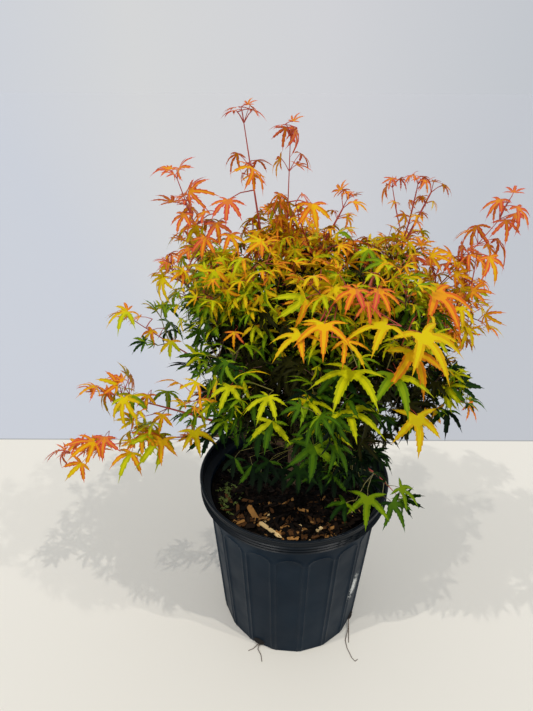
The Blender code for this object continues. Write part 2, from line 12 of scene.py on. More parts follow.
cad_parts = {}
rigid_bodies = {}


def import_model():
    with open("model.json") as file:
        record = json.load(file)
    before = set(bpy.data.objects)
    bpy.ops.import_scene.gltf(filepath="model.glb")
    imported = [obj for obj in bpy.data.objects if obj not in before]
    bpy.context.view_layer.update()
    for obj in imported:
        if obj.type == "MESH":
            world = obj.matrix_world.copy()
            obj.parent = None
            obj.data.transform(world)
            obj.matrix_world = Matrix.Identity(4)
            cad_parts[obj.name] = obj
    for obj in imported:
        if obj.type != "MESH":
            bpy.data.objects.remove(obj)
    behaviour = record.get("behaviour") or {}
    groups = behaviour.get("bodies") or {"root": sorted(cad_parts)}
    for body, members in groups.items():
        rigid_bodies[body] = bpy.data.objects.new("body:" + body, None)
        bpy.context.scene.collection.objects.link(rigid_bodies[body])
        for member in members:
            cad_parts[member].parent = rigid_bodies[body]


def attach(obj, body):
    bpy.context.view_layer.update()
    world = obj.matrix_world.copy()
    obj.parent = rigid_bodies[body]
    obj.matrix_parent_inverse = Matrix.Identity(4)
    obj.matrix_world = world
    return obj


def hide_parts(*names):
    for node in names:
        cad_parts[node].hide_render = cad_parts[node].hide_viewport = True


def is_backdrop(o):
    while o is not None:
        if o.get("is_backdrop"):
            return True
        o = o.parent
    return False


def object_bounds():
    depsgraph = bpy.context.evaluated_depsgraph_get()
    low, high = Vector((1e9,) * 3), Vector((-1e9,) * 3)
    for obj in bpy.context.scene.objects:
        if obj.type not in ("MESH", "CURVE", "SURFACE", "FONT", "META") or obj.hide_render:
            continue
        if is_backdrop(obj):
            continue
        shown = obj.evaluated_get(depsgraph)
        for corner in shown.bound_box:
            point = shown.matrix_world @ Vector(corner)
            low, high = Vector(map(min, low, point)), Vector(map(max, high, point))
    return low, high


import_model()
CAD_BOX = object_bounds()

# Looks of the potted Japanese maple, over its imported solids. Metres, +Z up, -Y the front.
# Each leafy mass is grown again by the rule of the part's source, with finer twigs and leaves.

UP = Vector((0, 0, 1))
FULL_TURN = 2 * math.pi

# ---------------------------------------------------------------- sizes shared with the solids
POT_HEIGHT = 0.255
LIP_RADIUS = 0.132
LIP_HEIGHT = 0.0235
LIP_ROLL = 0.004
BODY_TOP_RADIUS = 0.1205
BASE_RADIUS = 0.1045
WALL = 0.0022
FLOOR = 0.0030
DRAIN_COUNT = 4
DRAIN_AZIMUTH = math.radians(-118)
DRAIN_WIDTH = 0.016
DRAIN_HEIGHT = 0.010
SOIL_TOP = 0.228

TRUNK_FOOT = Vector((0.002, 0.012, 0.2283))
TRUNK_TOP = Vector((-0.006, 0.020, 0.335))
TRUNK_BOW = Vector((0.005, -0.002, 0.0))
TRUNK_RADIUS = 0.0098
TRUNK_TOP_RADIUS = 0.0074
FLARE_RADIUS = 0.0075
FLARE_HEIGHT = 0.011
BOUGH_ROOT_RADIUS = 0.0054
BRANCH_ROOT_RADIUS = 0.0036
TAPER_PER_METRE = 0.0085
THINNEST_BOUGH = 0.0019
STEM_TIP_RADIUS = 0.0011
# How much finer a limb is seen than it is in the solid, and from what part of its bough on.
THINNING = 0.25
SLENDER_THINNING = 0.55
THINNING_FROM = 0.375

TWIG_SPREAD = math.radians(58)
TWIG_LIFT = 0.22
TWIG_REACH = 0.78
TIP_SHARE = 0.55
LEAF_LENGTH = 0.043
PETIOLE_LENGTH = 0.024
SPACE_GIVE = 0.28
POT_CLEARANCE = 0.006
SEED = 7

# One row for each leafy mass and its bough. The columns up to `leaf` are as in the part's source.
# heat is how red the mass is on the whole, from 0 for deep green to 1 for rose, spikes is how many
# slender shoots stand out of its top, and fullness scales the usual length of its twigs.
COLUMNS = "name parent fork azimuth reach height bow share spread leaf heat spikes fullness"
Mass = namedtuple("Mass", COLUMNS, defaults=(0, 1))
MASSES = [
    Mass("leader_left", "trunk", 1.00, 170, 0.064, 0.700, -0.01, 0.58, 0.046, 0.80, 0.80),
    Mass("leader_mid", "leader_left", 0.40, 145, 0.018, 0.688, -0.02, 0.62, 0.044, 0.80, 0.86),
    Mass("crown_top", "leader_left", 0.75, 12, 0.046, 0.615, -0.02, 0.35, 0.092, 0.95, 0.72, 5, 0.9),
    Mass("upper_left", "trunk", 0.86, 176, 0.136, 0.645, -0.05, 0.52, 0.072, 0.90, 0.74),
    Mass("left_fan", "upper_left", 0.60, 192, 0.135, 0.545, 0.00, 0.30, 0.088, 0.95, 0.90, 3, 0.52),
    Mass("arm_high", "upper_left", 0.30, 181, 0.200, 0.486, -0.01, 0.50, 0.055, 0.90, 0.58),
    Mass("right_top", "trunk", 0.90, 4, 0.140, 0.632, -0.04, 0.50, 0.080, 0.95, 0.72, 4, 0.8),
    Mass("right_far", "right_top", 0.55, 6, 0.228, 0.600, -0.04, 0.46, 0.070, 0.90, 0.86),
    Mass("right_side", "right_top", 0.32, -4, 0.195, 0.505, 0.03, 0.45, 0.086, 1.00, 0.74, 3, 0.78),
    Mass("front_right", "trunk", 0.76, -40, 0.145, 0.530, 0.00, 0.52, 0.090, 1.00, 0.50),
    Mass("front_mid", "front_right", 0.50, -76, 0.118, 0.555, 0.00, 0.48, 0.090, 1.00, 0.54),
    Mass("heart_front", "leader_left", 0.30, -82, 0.050, 0.520, 0.00, 0.20, 0.115, 1.00, 0.50),
    Mass("heart_left", "leader_left", 0.50, 205, 0.082, 0.555, -0.01, 0.32, 0.110, 0.95, 0.74, 2, 1.05),
    Mass("heart_right", "right_top", 0.30, -16, 0.090, 0.550, -0.02, 0.30, 0.110, 0.95, 0.64, 2),
    Mass("front", "trunk", 0.60, -80, 0.150, 0.470, 0.03, 0.50, 0.090, 1.10, 0.28),
    Mass("front_left", "front", 0.45, -128, 0.128, 0.455, 0.02, 0.35, 0.088, 0.95, 0.60, 0, 1.1),
    Mass("front_low", "trunk", 0.40, -62, 0.125, 0.375, 0.03, 0.45, 0.080, 1.00, 0.27),
    Mass("right_low", "trunk", 0.54, -10, 0.185, 0.415, 0.04, 0.48, 0.088, 1.05, 0.46),
    Mass("rim_sprig", "trunk", 0.28, -28, 0.146, 0.270, 0.07, 0.62, 0.055, 0.95, 0.45),
    Mass("arm_mid", "trunk", 0.50, 184, 0.245, 0.392, 0.01, 0.46, 0.055, 0.90, 0.62),
    Mass("arm_low", "arm_mid", 0.40, 186, 0.298, 0.308, 0.02, 0.42, 0.052, 0.95, 0.70),
    Mass("back_mid", "trunk", 0.80, 92, 0.168, 0.570, -0.01, 0.50, 0.100, 1.10, 0.74, 4),
    Mass("back_left", "back_mid", 0.30, 134, 0.190, 0.515, 0.00, 0.45, 0.094, 1.10, 0.64, 3, 0.7),
    Mass("back_right", "back_mid", 0.45, 48, 0.195, 0.515, 0.02, 0.42, 0.094, 1.10, 0.60, 3, 0.8),
    Mass("back_low_left", "trunk", 0.46, 122, 0.175, 0.385, 0.03, 0.45, 0.090, 1.15, 0.44, 0, 0.7),
    Mass("back_low_right", "trunk", 0.34, 58, 0.178, 0.390, 0.03, 0.45, 0.090, 1.15, 0.46, 0, 0.8),
]

# A group is one piece of leaves and one of twigs: the slot of its leaves, and its masses.
GROUPS = {
    "top": ("leaf_rose", ["leader_left", "leader_mid", "crown_top", "upper_left"]),
    "left": ("leaf_orange", ["left_fan", "arm_high", "arm_mid", "arm_low"]),
    "middle": ("leaf_lime", ["heart_front", "heart_left", "heart_right"]),
    "front": ("leaf_lime", ["front", "front_left", "front_mid", "front_low", "rim_sprig"]),
    "right": ("leaf_orange", ["right_top", "right_far", "right_side", "right_low", "front_right"]),
    "back": ("leaf_green", ["back_mid", "back_left", "back_right", "back_low_left", "back_low_right"]),
}

# Masses that are one slender shoot, with whorls of hanging leaves along it.
LEAFY_ARMS = {"arm_high", "arm_mid", "arm_low", "rim_sprig"}
SLENDER = LEAFY_ARMS | {"leader_left", "leader_mid", "upper_left", "right_far"}
# Slender boughs that carry longer side shoots near their base.
FULL_BASES = {"upper_left", "leader_left"}
# Where the leaves of the long shoots stand, as a share of each shoot: the rest is bare.
BARE_SHOOTS = {
    "leader_left": (0.03, 0.12, 0.24, 0.66),
    "leader_mid": (0.03, 0.12, 0.22, 0.70),
}


# ---------------------------------------------------------------- colours and materials
BLACK = (0, 0, 0, 1)
WHITE = (1, 1, 1, 1)

# Autumn tints from the coolest to the hottest: the blade round the veins, and its margin.
TINTS = [
    ((10, 28, 8), (8, 22, 8)),
    ((26, 54, 8), (20, 44, 8)),
    ((70, 104, 8), (52, 84, 10)),
    ((126, 150, 10), (100, 128, 10)),
    ((194, 192, 10), (166, 170, 10)),
    ((212, 188, 10), (204, 160, 14)),
    ((224, 172, 14), (214, 128, 20)),
    ((226, 150, 24), (212, 100, 34)),
    ((220, 140, 38), (210, 82, 50)),
    ((212, 120, 50), (204, 72, 58)),
    ((42, 42, 8), (32, 32, 8)),
]
# The last tint is painted shade: a dull dark olive that leaves deep in the crown take in place of their
# own tint.
SHADED = len(TINTS) - 1
SHADE_TINT = 9.0
LEAF_SHINE = 0.06
PLAIN_SHINE = 0.5

STAIN_PLACE = Vector((0.0890, -0.0670, 0.094))
STAIN_SHAPE = Vector((1, 1, 0.6))
STAIN_RAGGED = 0.036
STAIN_EDGE = (0.026, 0.029)
STAIN_TONE = (212, 214, 210)
# Where the dust on the pot lies, by the noise that spreads it, and its tone there.
DUST = [(0.40, (14, 29, 42)), (0.62, (21, 36, 49)), (0.80, (36, 49, 62))]
BARK_TONES = [(0.35, (62, 44, 34)), (0.55, (104, 76, 54)), (0.75, (140, 112, 84))]
# Tones of the mulch, darker than its own colour: partly painted shade from the crown above it.
SOIL_AND_SHADE_TONES = [(0.35, (6, 5, 4)), (0.55, (17, 12, 9)), (0.75, (42, 30, 22))]


def linear(tone, dim=1):
    """A tone given in the screen's 0 to 255, as the linear values that shaders take."""
    parts = [c * dim / 255 for c in tone]
    return (*((c / 12.92 if c < 0.04045 else ((c + 0.055) / 1.055) ** 2.4) for c in parts), 1)


def principled(name, tone, roughness, shine=PLAIN_SHINE):
    made = bpy.data.materials.new(name)
    made.use_nodes = True
    inputs = made.node_tree.nodes["Principled BSDF"].inputs
    inputs["Base Color"].default_value = linear(tone)
    inputs["Roughness"].default_value = roughness
    inputs["Specular IOR Level"].default_value = shine
    return made


def give(tree, socket, value):
    """Sets an input to a value, or links it to another node's output."""
    if isinstance(value, bpy.types.NodeSocket):
        tree.links.new(value, socket)
    else:
        socket.default_value = value


def shade(tree, name, output):
    """Links an output to the Principled shader's input of this name."""
    tree.links.new(output, tree.nodes["Principled BSDF"].inputs[name])


def add_node(tree, kind, **inputs):
    node = tree.nodes.new(kind)
    for name, value in inputs.items():
        give(tree, node.inputs[name], value)
    return node


def worked_out(tree, kind, operation, *values):
    """A Math or Vector Math node over these values and outputs."""
    node = tree.nodes.new(kind)
    node.operation = operation
    for socket, value in zip(node.inputs, values):
        give(tree, socket, value)
    return node


def mixed(tree, factor, first, second):
    node = tree.nodes.new("ShaderNodeMix")
    node.data_type = "RGBA"
    for name, value in (("Factor", factor), ("A", first), ("B", second)):
        give(tree, node.inputs[name], value)
    return node.outputs["Result"]


def ramp(tree, factor, stops):
    node = add_node(tree, "ShaderNodeValToRGB", Fac=factor)
    elements = node.color_ramp.elements
    elements.remove(elements[1])
    for i, (place, color) in enumerate(stops):
        element = elements.new(place) if i else elements[0]
        element.position = place
        element.color = color
    return node.outputs["Color"]


def toned(tree, factor, stops, dim=1):
    return ramp(tree, factor, [(place, linear(tone, dim)) for place, tone in stops])


def bump(tree, height, distance, strength):
    node = add_node(tree, "ShaderNodeBump", Strength=strength, Distance=distance, Height=height)
    shade(tree, "Normal", node.outputs["Normal"])


def noise_of(tree, scale, detail=4.0, stretch=(1, 1, 1)):
    place = tree.nodes.new("ShaderNodeTexCoord").outputs["Object"]
    mapping = add_node(tree, "ShaderNodeMapping", Vector=place, Scale=stretch)
    spot = mapping.outputs["Vector"]
    return add_node(tree, "ShaderNodeTexNoise", Vector=spot, Scale=scale, Detail=detail).outputs["Fac"]


def leaf_materials():
    """Two plain colours for each tint: the blade round the veins, then its margin."""
    return [
        principled(f"leaf_{i}_{part}", tone, 0.55, LEAF_SHINE)
        for i, tones in enumerate(TINTS)
        for part, tone in zip(("blade", "margin"), tones)
    ]


def twig_materials():
    """One for each kind of shoot: red, green and brown."""
    return [
        principled("twig_young", (186, 74, 58), 0.45),
        principled("twig_green", (130, 122, 52), 0.5),
        principled("twig_brown", (96, 66, 46), 0.65),
    ]


def bark_material():
    made = principled("bark", (62, 47, 37), 0.75)
    tree = made.node_tree
    streaks = noise_of(tree, 260, stretch=(1, 1, 0.25))
    shade(tree, "Base Color", toned(tree, streaks, BARK_TONES))
    bump(tree, streaks, 0.0006, 0.6)
    return made


def stain_of(tree):
    """Where the pale stain is, low on one side of the pot, with a ragged edge."""
    place = tree.nodes.new("ShaderNodeTexCoord").outputs["Object"]
    shaped = worked_out(tree, "ShaderNodeVectorMath", "MULTIPLY", place, STAIN_SHAPE)
    middle = STAIN_PLACE * STAIN_SHAPE
    away = worked_out(tree, "ShaderNodeVectorMath", "DISTANCE", shaped.outputs["Vector"], middle)
    speckle = noise_of(tree, 330, 6)
    values = speckle, STAIN_RAGGED, away.outputs["Value"]
    ragged = worked_out(tree, "ShaderNodeMath", "MULTIPLY_ADD", *values)
    return ramp(tree, ragged.outputs["Value"], zip(STAIN_EDGE, (WHITE, BLACK)))


def pot_material(name, shine, dim, rough):
    """Moulded black plastic, dusty in patches, with a pale stain low on one side."""
    made = principled(name, (26, 38, 50), 0.45, shine)
    tree = made.node_tree
    dust = toned(tree, noise_of(tree, 9, 6), DUST, dim)
    shade(tree, "Base Color", mixed(tree, stain_of(tree), dust, linear(STAIN_TONE)))
    smooth, dull = ((value, value, value, 1) for value in rough)
    shade(tree, "Roughness", ramp(tree, noise_of(tree, 30, 5), [(0.3, smooth), (0.8, dull)]))
    bump(tree, noise_of(tree, 420, 2), 0.0002, 0.25)
    return made


def soil_material():
    made = principled("bark_mulch", (46, 34, 26), 0.95, 0.08)
    tree = made.node_tree
    grain = noise_of(tree, 320, 6)
    # The mulch's grain, in tones darkened partly as painted shade from the crown.
    shade(tree, "Base Color", toned(tree, grain, SOIL_AND_SHADE_TONES))
    bump(tree, grain, 0.0015, 0.8)
    return made


def chip_material(name, tone):
    made = principled(name, tone, 0.85, 0.12)
    tree = made.node_tree
    bump(tree, noise_of(tree, 500, 3, stretch=(1, 0.3, 1)), 0.0004, 0.7)
    return made


# ---------------------------------------------------------------- limbs and the space of each mass
def heading(angle):
    """The level direction at this angle, counted anticlockwise from +X."""
    return Vector((math.cos(angle), math.sin(angle), 0))


def bezier(start, control, end, t):
    return start * (1 - t) ** 2 + control * 2 * t * (1 - t) + end * t**2


def samples(first, last, count):
    return [first + (last - first) * i / count for i in range(count + 1)]


def trunk_point(t):
    return bezier(TRUNK_FOOT, (TRUNK_FOOT + TRUNK_TOP) / 2 + TRUNK_BOW, TRUNK_TOP, t)


def trunk_radius(t):
    height = t * (TRUNK_TOP.z - TRUNK_FOOT.z)
    flare = FLARE_RADIUS * math.exp(-height / FLARE_HEIGHT)
    return TRUNK_RADIUS + (TRUNK_TOP_RADIUS - TRUNK_RADIUS) * t + flare


class Limb:
    """One tapering path: a bough for t up to `share`, and the stem of its mass beyond that."""

    def __init__(self, mass, limbs):
        self.mass = mass
        self.main = mass.parent == "trunk"
        self.start = trunk_point(mass.fork)
        if not self.main:
            parent = limbs[mass.parent]
            self.start = parent.point(mass.fork * parent.mass.share)
        self.tip = heading(math.radians(mass.azimuth)) * mass.reach + UP * mass.height
        self.control = (self.start + self.tip) / 2 + UP * mass.bow
        self.length = (self.tip - self.start).length

    def point(self, t):
        return bezier(self.start, self.control, self.tip, t)

    def direction(self, t):
        return (self.point(t + 0.01) - self.point(t - 0.01)).normalized()

    def radius(self, t):
        root = BOUGH_ROOT_RADIUS if self.main else BRANCH_ROOT_RADIUS
        if t <= self.mass.share:
            return max(root - TAPER_PER_METRE * t * self.length, THINNEST_BOUGH)
        start = self.radius(self.mass.share)
        along = (t - self.mass.share) / (1 - self.mass.share)
        return start + (STEM_TIP_RADIUS - start) * along

    def seen_radius(self, t):
        """The radius as it is seen: finer than in the solid, most of all on a slender shoot."""
        thinning = SLENDER_THINNING if self.mass.name in SLENDER else THINNING
        along = (t / self.mass.share - THINNING_FROM) / (1 - THINNING_FROM)
        return self.radius(t) * (1 - thinning * min(1.0, max(0.0, along)))

    def run(self, ts, kind):
        return Shoot([self.point(t) for t in ts], [self.seen_radius(t) for t in ts], kind)


def all_limbs():
    limbs = {}
    for mass in MASSES:
        limbs[mass.name] = Limb(mass, limbs)
    return limbs


def segment_distance(point, first, last):
    along = last - first
    share = max(0.0, min(1.0, (point - first).dot(along) / along.length_squared))
    return (point - first - along * share).length


class Space:
    """The room that each mass keeps to: what is nearest to its own stem, within its spread."""

    def __init__(self, limbs):
        self.stems = {}
        for name, limb in limbs.items():
            places = [limb.point(t) for t in samples(limb.mass.share, 1, 3)]
            self.stems[name] = list(zip(places, places[1:]))
        self.spread = {name: limb.mass.spread for name, limb in limbs.items()}

    def nearness(self, name, point):
        return min(segment_distance(point, a, b) for a, b in self.stems[name]) / self.spread[name]

    def holds(self, name, point):
        own = self.nearness(name, point)
        if own > 1 or in_pot(point):
            return False
        return all(
            own - SPACE_GIVE < self.nearness(other, point) for other in self.stems if other != name
        )


def in_pot(point):
    """Whether the point is in or too near the pot, its fill or the ground."""
    radius = math.hypot(point.x, point.y)
    if radius > LIP_RADIUS + POT_CLEARANCE:
        return point.z < POT_CLEARANCE
    over_lip = radius > BODY_TOP_RADIUS - 2 * POT_CLEARANCE
    return point.z < (POT_HEIGHT if over_lip else SOIL_TOP) + POT_CLEARANCE


# ---------------------------------------------------------------- growth
Leaf = namedtuple("Leaf", "root neck forward up length droop tint shape")
Shoot = namedtuple("Shoot", "points radii kind")
RED, GREEN, BROWN = range(3)

# Steps between nodes, how few or crowded they may be, and the angles between a stem or twig
# and what grows from it.
STEM_NODE = 0.016
FEWEST_NODES = 3
FIRST_NODE = 0.3
TWIG_NODE = 0.0135
SPIKE_NODE = 0.022
WHORL_STEP = 0.040
WHORL_CROWDING = 1.35
FIRST_WHORL = 0.15
FEWEST_WHORLS = 2
EXTRA_WHORLS = 2
LEAF_SPREAD = math.radians(62)
SIDE_SPREAD = math.radians(50)
TIP_SPREAD = math.radians(48)
END_SPREAD = math.radians(24)
SPIKE_SPREAD = math.radians(58)
WHORL_TWIG_SPREAD = math.radians(48)
WHORL_LEAF_SPREAD = math.radians(70)
WHORL_BETWEEN_SPREAD = math.radians(65)

# How a twig wanders, thins and branches, and how stiffly a young shoot climbs.
STEM_STEPS = 10
STEM_END = 0.99
TURN_VARIES = 0.3
STEM_TURN_VARIES = 0.4
TWIG_LENGTHS = (0.5, 1.12)
TWIG_ARCH = 0.6
TWIG_SWAY = 0.14
SPIKES_FROM = 0.35
SPIKE_LEANS = (0.25, 0.8)
SPIKE_OUT = 0.25
SPIKE_SWAY = 0.1
SPIKE_LIFT = 0.06
SPIKE_RISE = 0.035
SPIKE_TURN = math.radians(137.5)
TWIG_RADII = {1: 0.0012, 2: 0.0008, 3: 0.0008}
TWIG_END_RADIUS = 0.0005
SPIKE_RADIUS = 0.0009
SIDE_SHOOT_CHANCE = 0.6
SIDE_SHOOT_SHARE = 0.55
SIDE_SHOOT_LENGTHS = (0.7, 1.2)
SHORTEST_SHOOT = 0.013
LAST_ORDER = 3
ARM_LEAD = 0.14
ARM_TWIG_CHANCE = 0.45
ARM_TWIG_REACH = 0.95
WHORL_TWIG_REACH = 1.3
WHORL_TWIG_TAPER = 1.2
WHORL_TWIG_LENGTHS = (0.3, 0.9)
FULL_BASE = 0.45
BETWEEN_CHANCE = 0.6
AHEAD_CHANCE = 0.7

# Sizes of the leaves, for where they stand, and how much each may differ.
YOUNG_SIZE = 0.56
BLUNT_SIZE = 0.9
STEM_END_SIZE = 0.85
SPIKE_END_SIZE = 0.6
ARM_SIZE = 1.05
WHORL_SIZE = 0.72
BETWEEN_SIZE = 0.5
TIP_SIZE = 0.92
AHEAD_SIZES = (0.4, 0.65)
INNER_SHARE = 0.42
INNER_SIZE = 0.72
LENGTH_VARIES = (0.55, 1.15, 0.85)
STALK_VARIES = (0.5, 1.1)
STALK_RISE = 0.25
# How steeply they hang, in degrees, from the lowest pitch up, and how many hang steeply.
PITCH_RANGE = 58
LOWEST_PITCH = -12
LOWEST_TIP_PITCH = -38
LOWEST_AHEAD_PITCH = -60
STEEP_PITCHES = (45, 75)
HANGING = 0.22
ROLL_VARIES = 30
DROOPS = (0.2, 0.7)
# A leaf on a shoot this near to upright points any way.
UPRIGHT = 0.2
# Where a blade's middle and its hanging end are, as shares of its length.
BLADE_MIDDLE = 0.45
BLADE_END = 0.9
BLADE_SINK = 0.8
# How near each other they may be, and how many are kept in the outer part of a mass.
LEAF_CROWDING = 0.19
OUTER_SHARE = 0.62
OUTER_KEPT = 0.34

# What makes leaves red: their place in the crown, in their mass and over the ground. Deep in the crown
# and low in front, the cooler, darker tints are partly painted shade.
CROWN_MIDDLE = Vector((-0.01, 0.02, 0.46))
CROWN_HALF = Vector((0.24, 0.21, 0.21))
INNER_GREEN = 0.55
SLENDER_GREEN = 0.20
HALF_OUT = 0.55
HEAT_PER_METRE = 0.7
DEEP = 0.80
DEEP_GREEN_AND_SHADE = 1.7
ARM_HEAT = 2.4
ARM_MIDDLE = 0.22
# Below LOW and in front of BEHIND, leaves take greener, darker tints: painted shade under the crown.
LOW_SHADE = 1.6
LOW = 0.40
BEHIND = 0.095
WARM_ABOVE = 3.1
WARM_FROM = 0.395
HEAT_VARIES = 0.08
TINT_VARIES = 0.035
SPIKE_HEAT = 0.64
SPIKE_REDDENS = 0.04
TWIG_GREEN = 0.14
BETWEEN_RED = 0.05
TIP_RED = 0.04
AHEAD_RED = 0.12
# From what heat on twigs, side twigs and stalks are red, and narrow young leaves are common.
RED_TWIG = 0.62
RED_SIDE_TWIG = 0.45
RED_STALK = 0.45
RED_FEATURE_STALK = 0.50
NARROW_FROM = 0.75
NARROW_CHANCE = 0.2
NARROW_MORE = 0.6

# The heart of the crown, where most leaves take the dark tint that paints its shade.
SHADE_MIDDLE = Vector((0.03, -0.01, 0.445))
SHADE_HALF = (0.150, 0.142, 0.115)
SHADED_SHARE = 0.85
# Over this height, lower towards the back, the bush ends and only young shoots stand.
CANOPY_TOP = 0.584
CANOPY_SLOPE = 0.25

FEATURE_STALK = 0.014
FEATURE_STALK_RISE = 0.2
FEATURE_DROOP = 0.32
FEATURE_ROOM = 0.32
FEATURE_MIDDLES = (0.2, 0.6)
FEATURE_RADII = [0.0007, 0.0006, 0.0005]
FEATURE_STEM_STEPS = 12
# Where a thin shoot or stalk is fullest, and how far it arches there for its length.
ARCH_PLACE = 0.55
FEATURE_ARCH = 0.08
STALK_ARCH = 0.06

Feature = namedtuple("Feature", "x y z azimuth pitch length heat form", defaults=("five",))

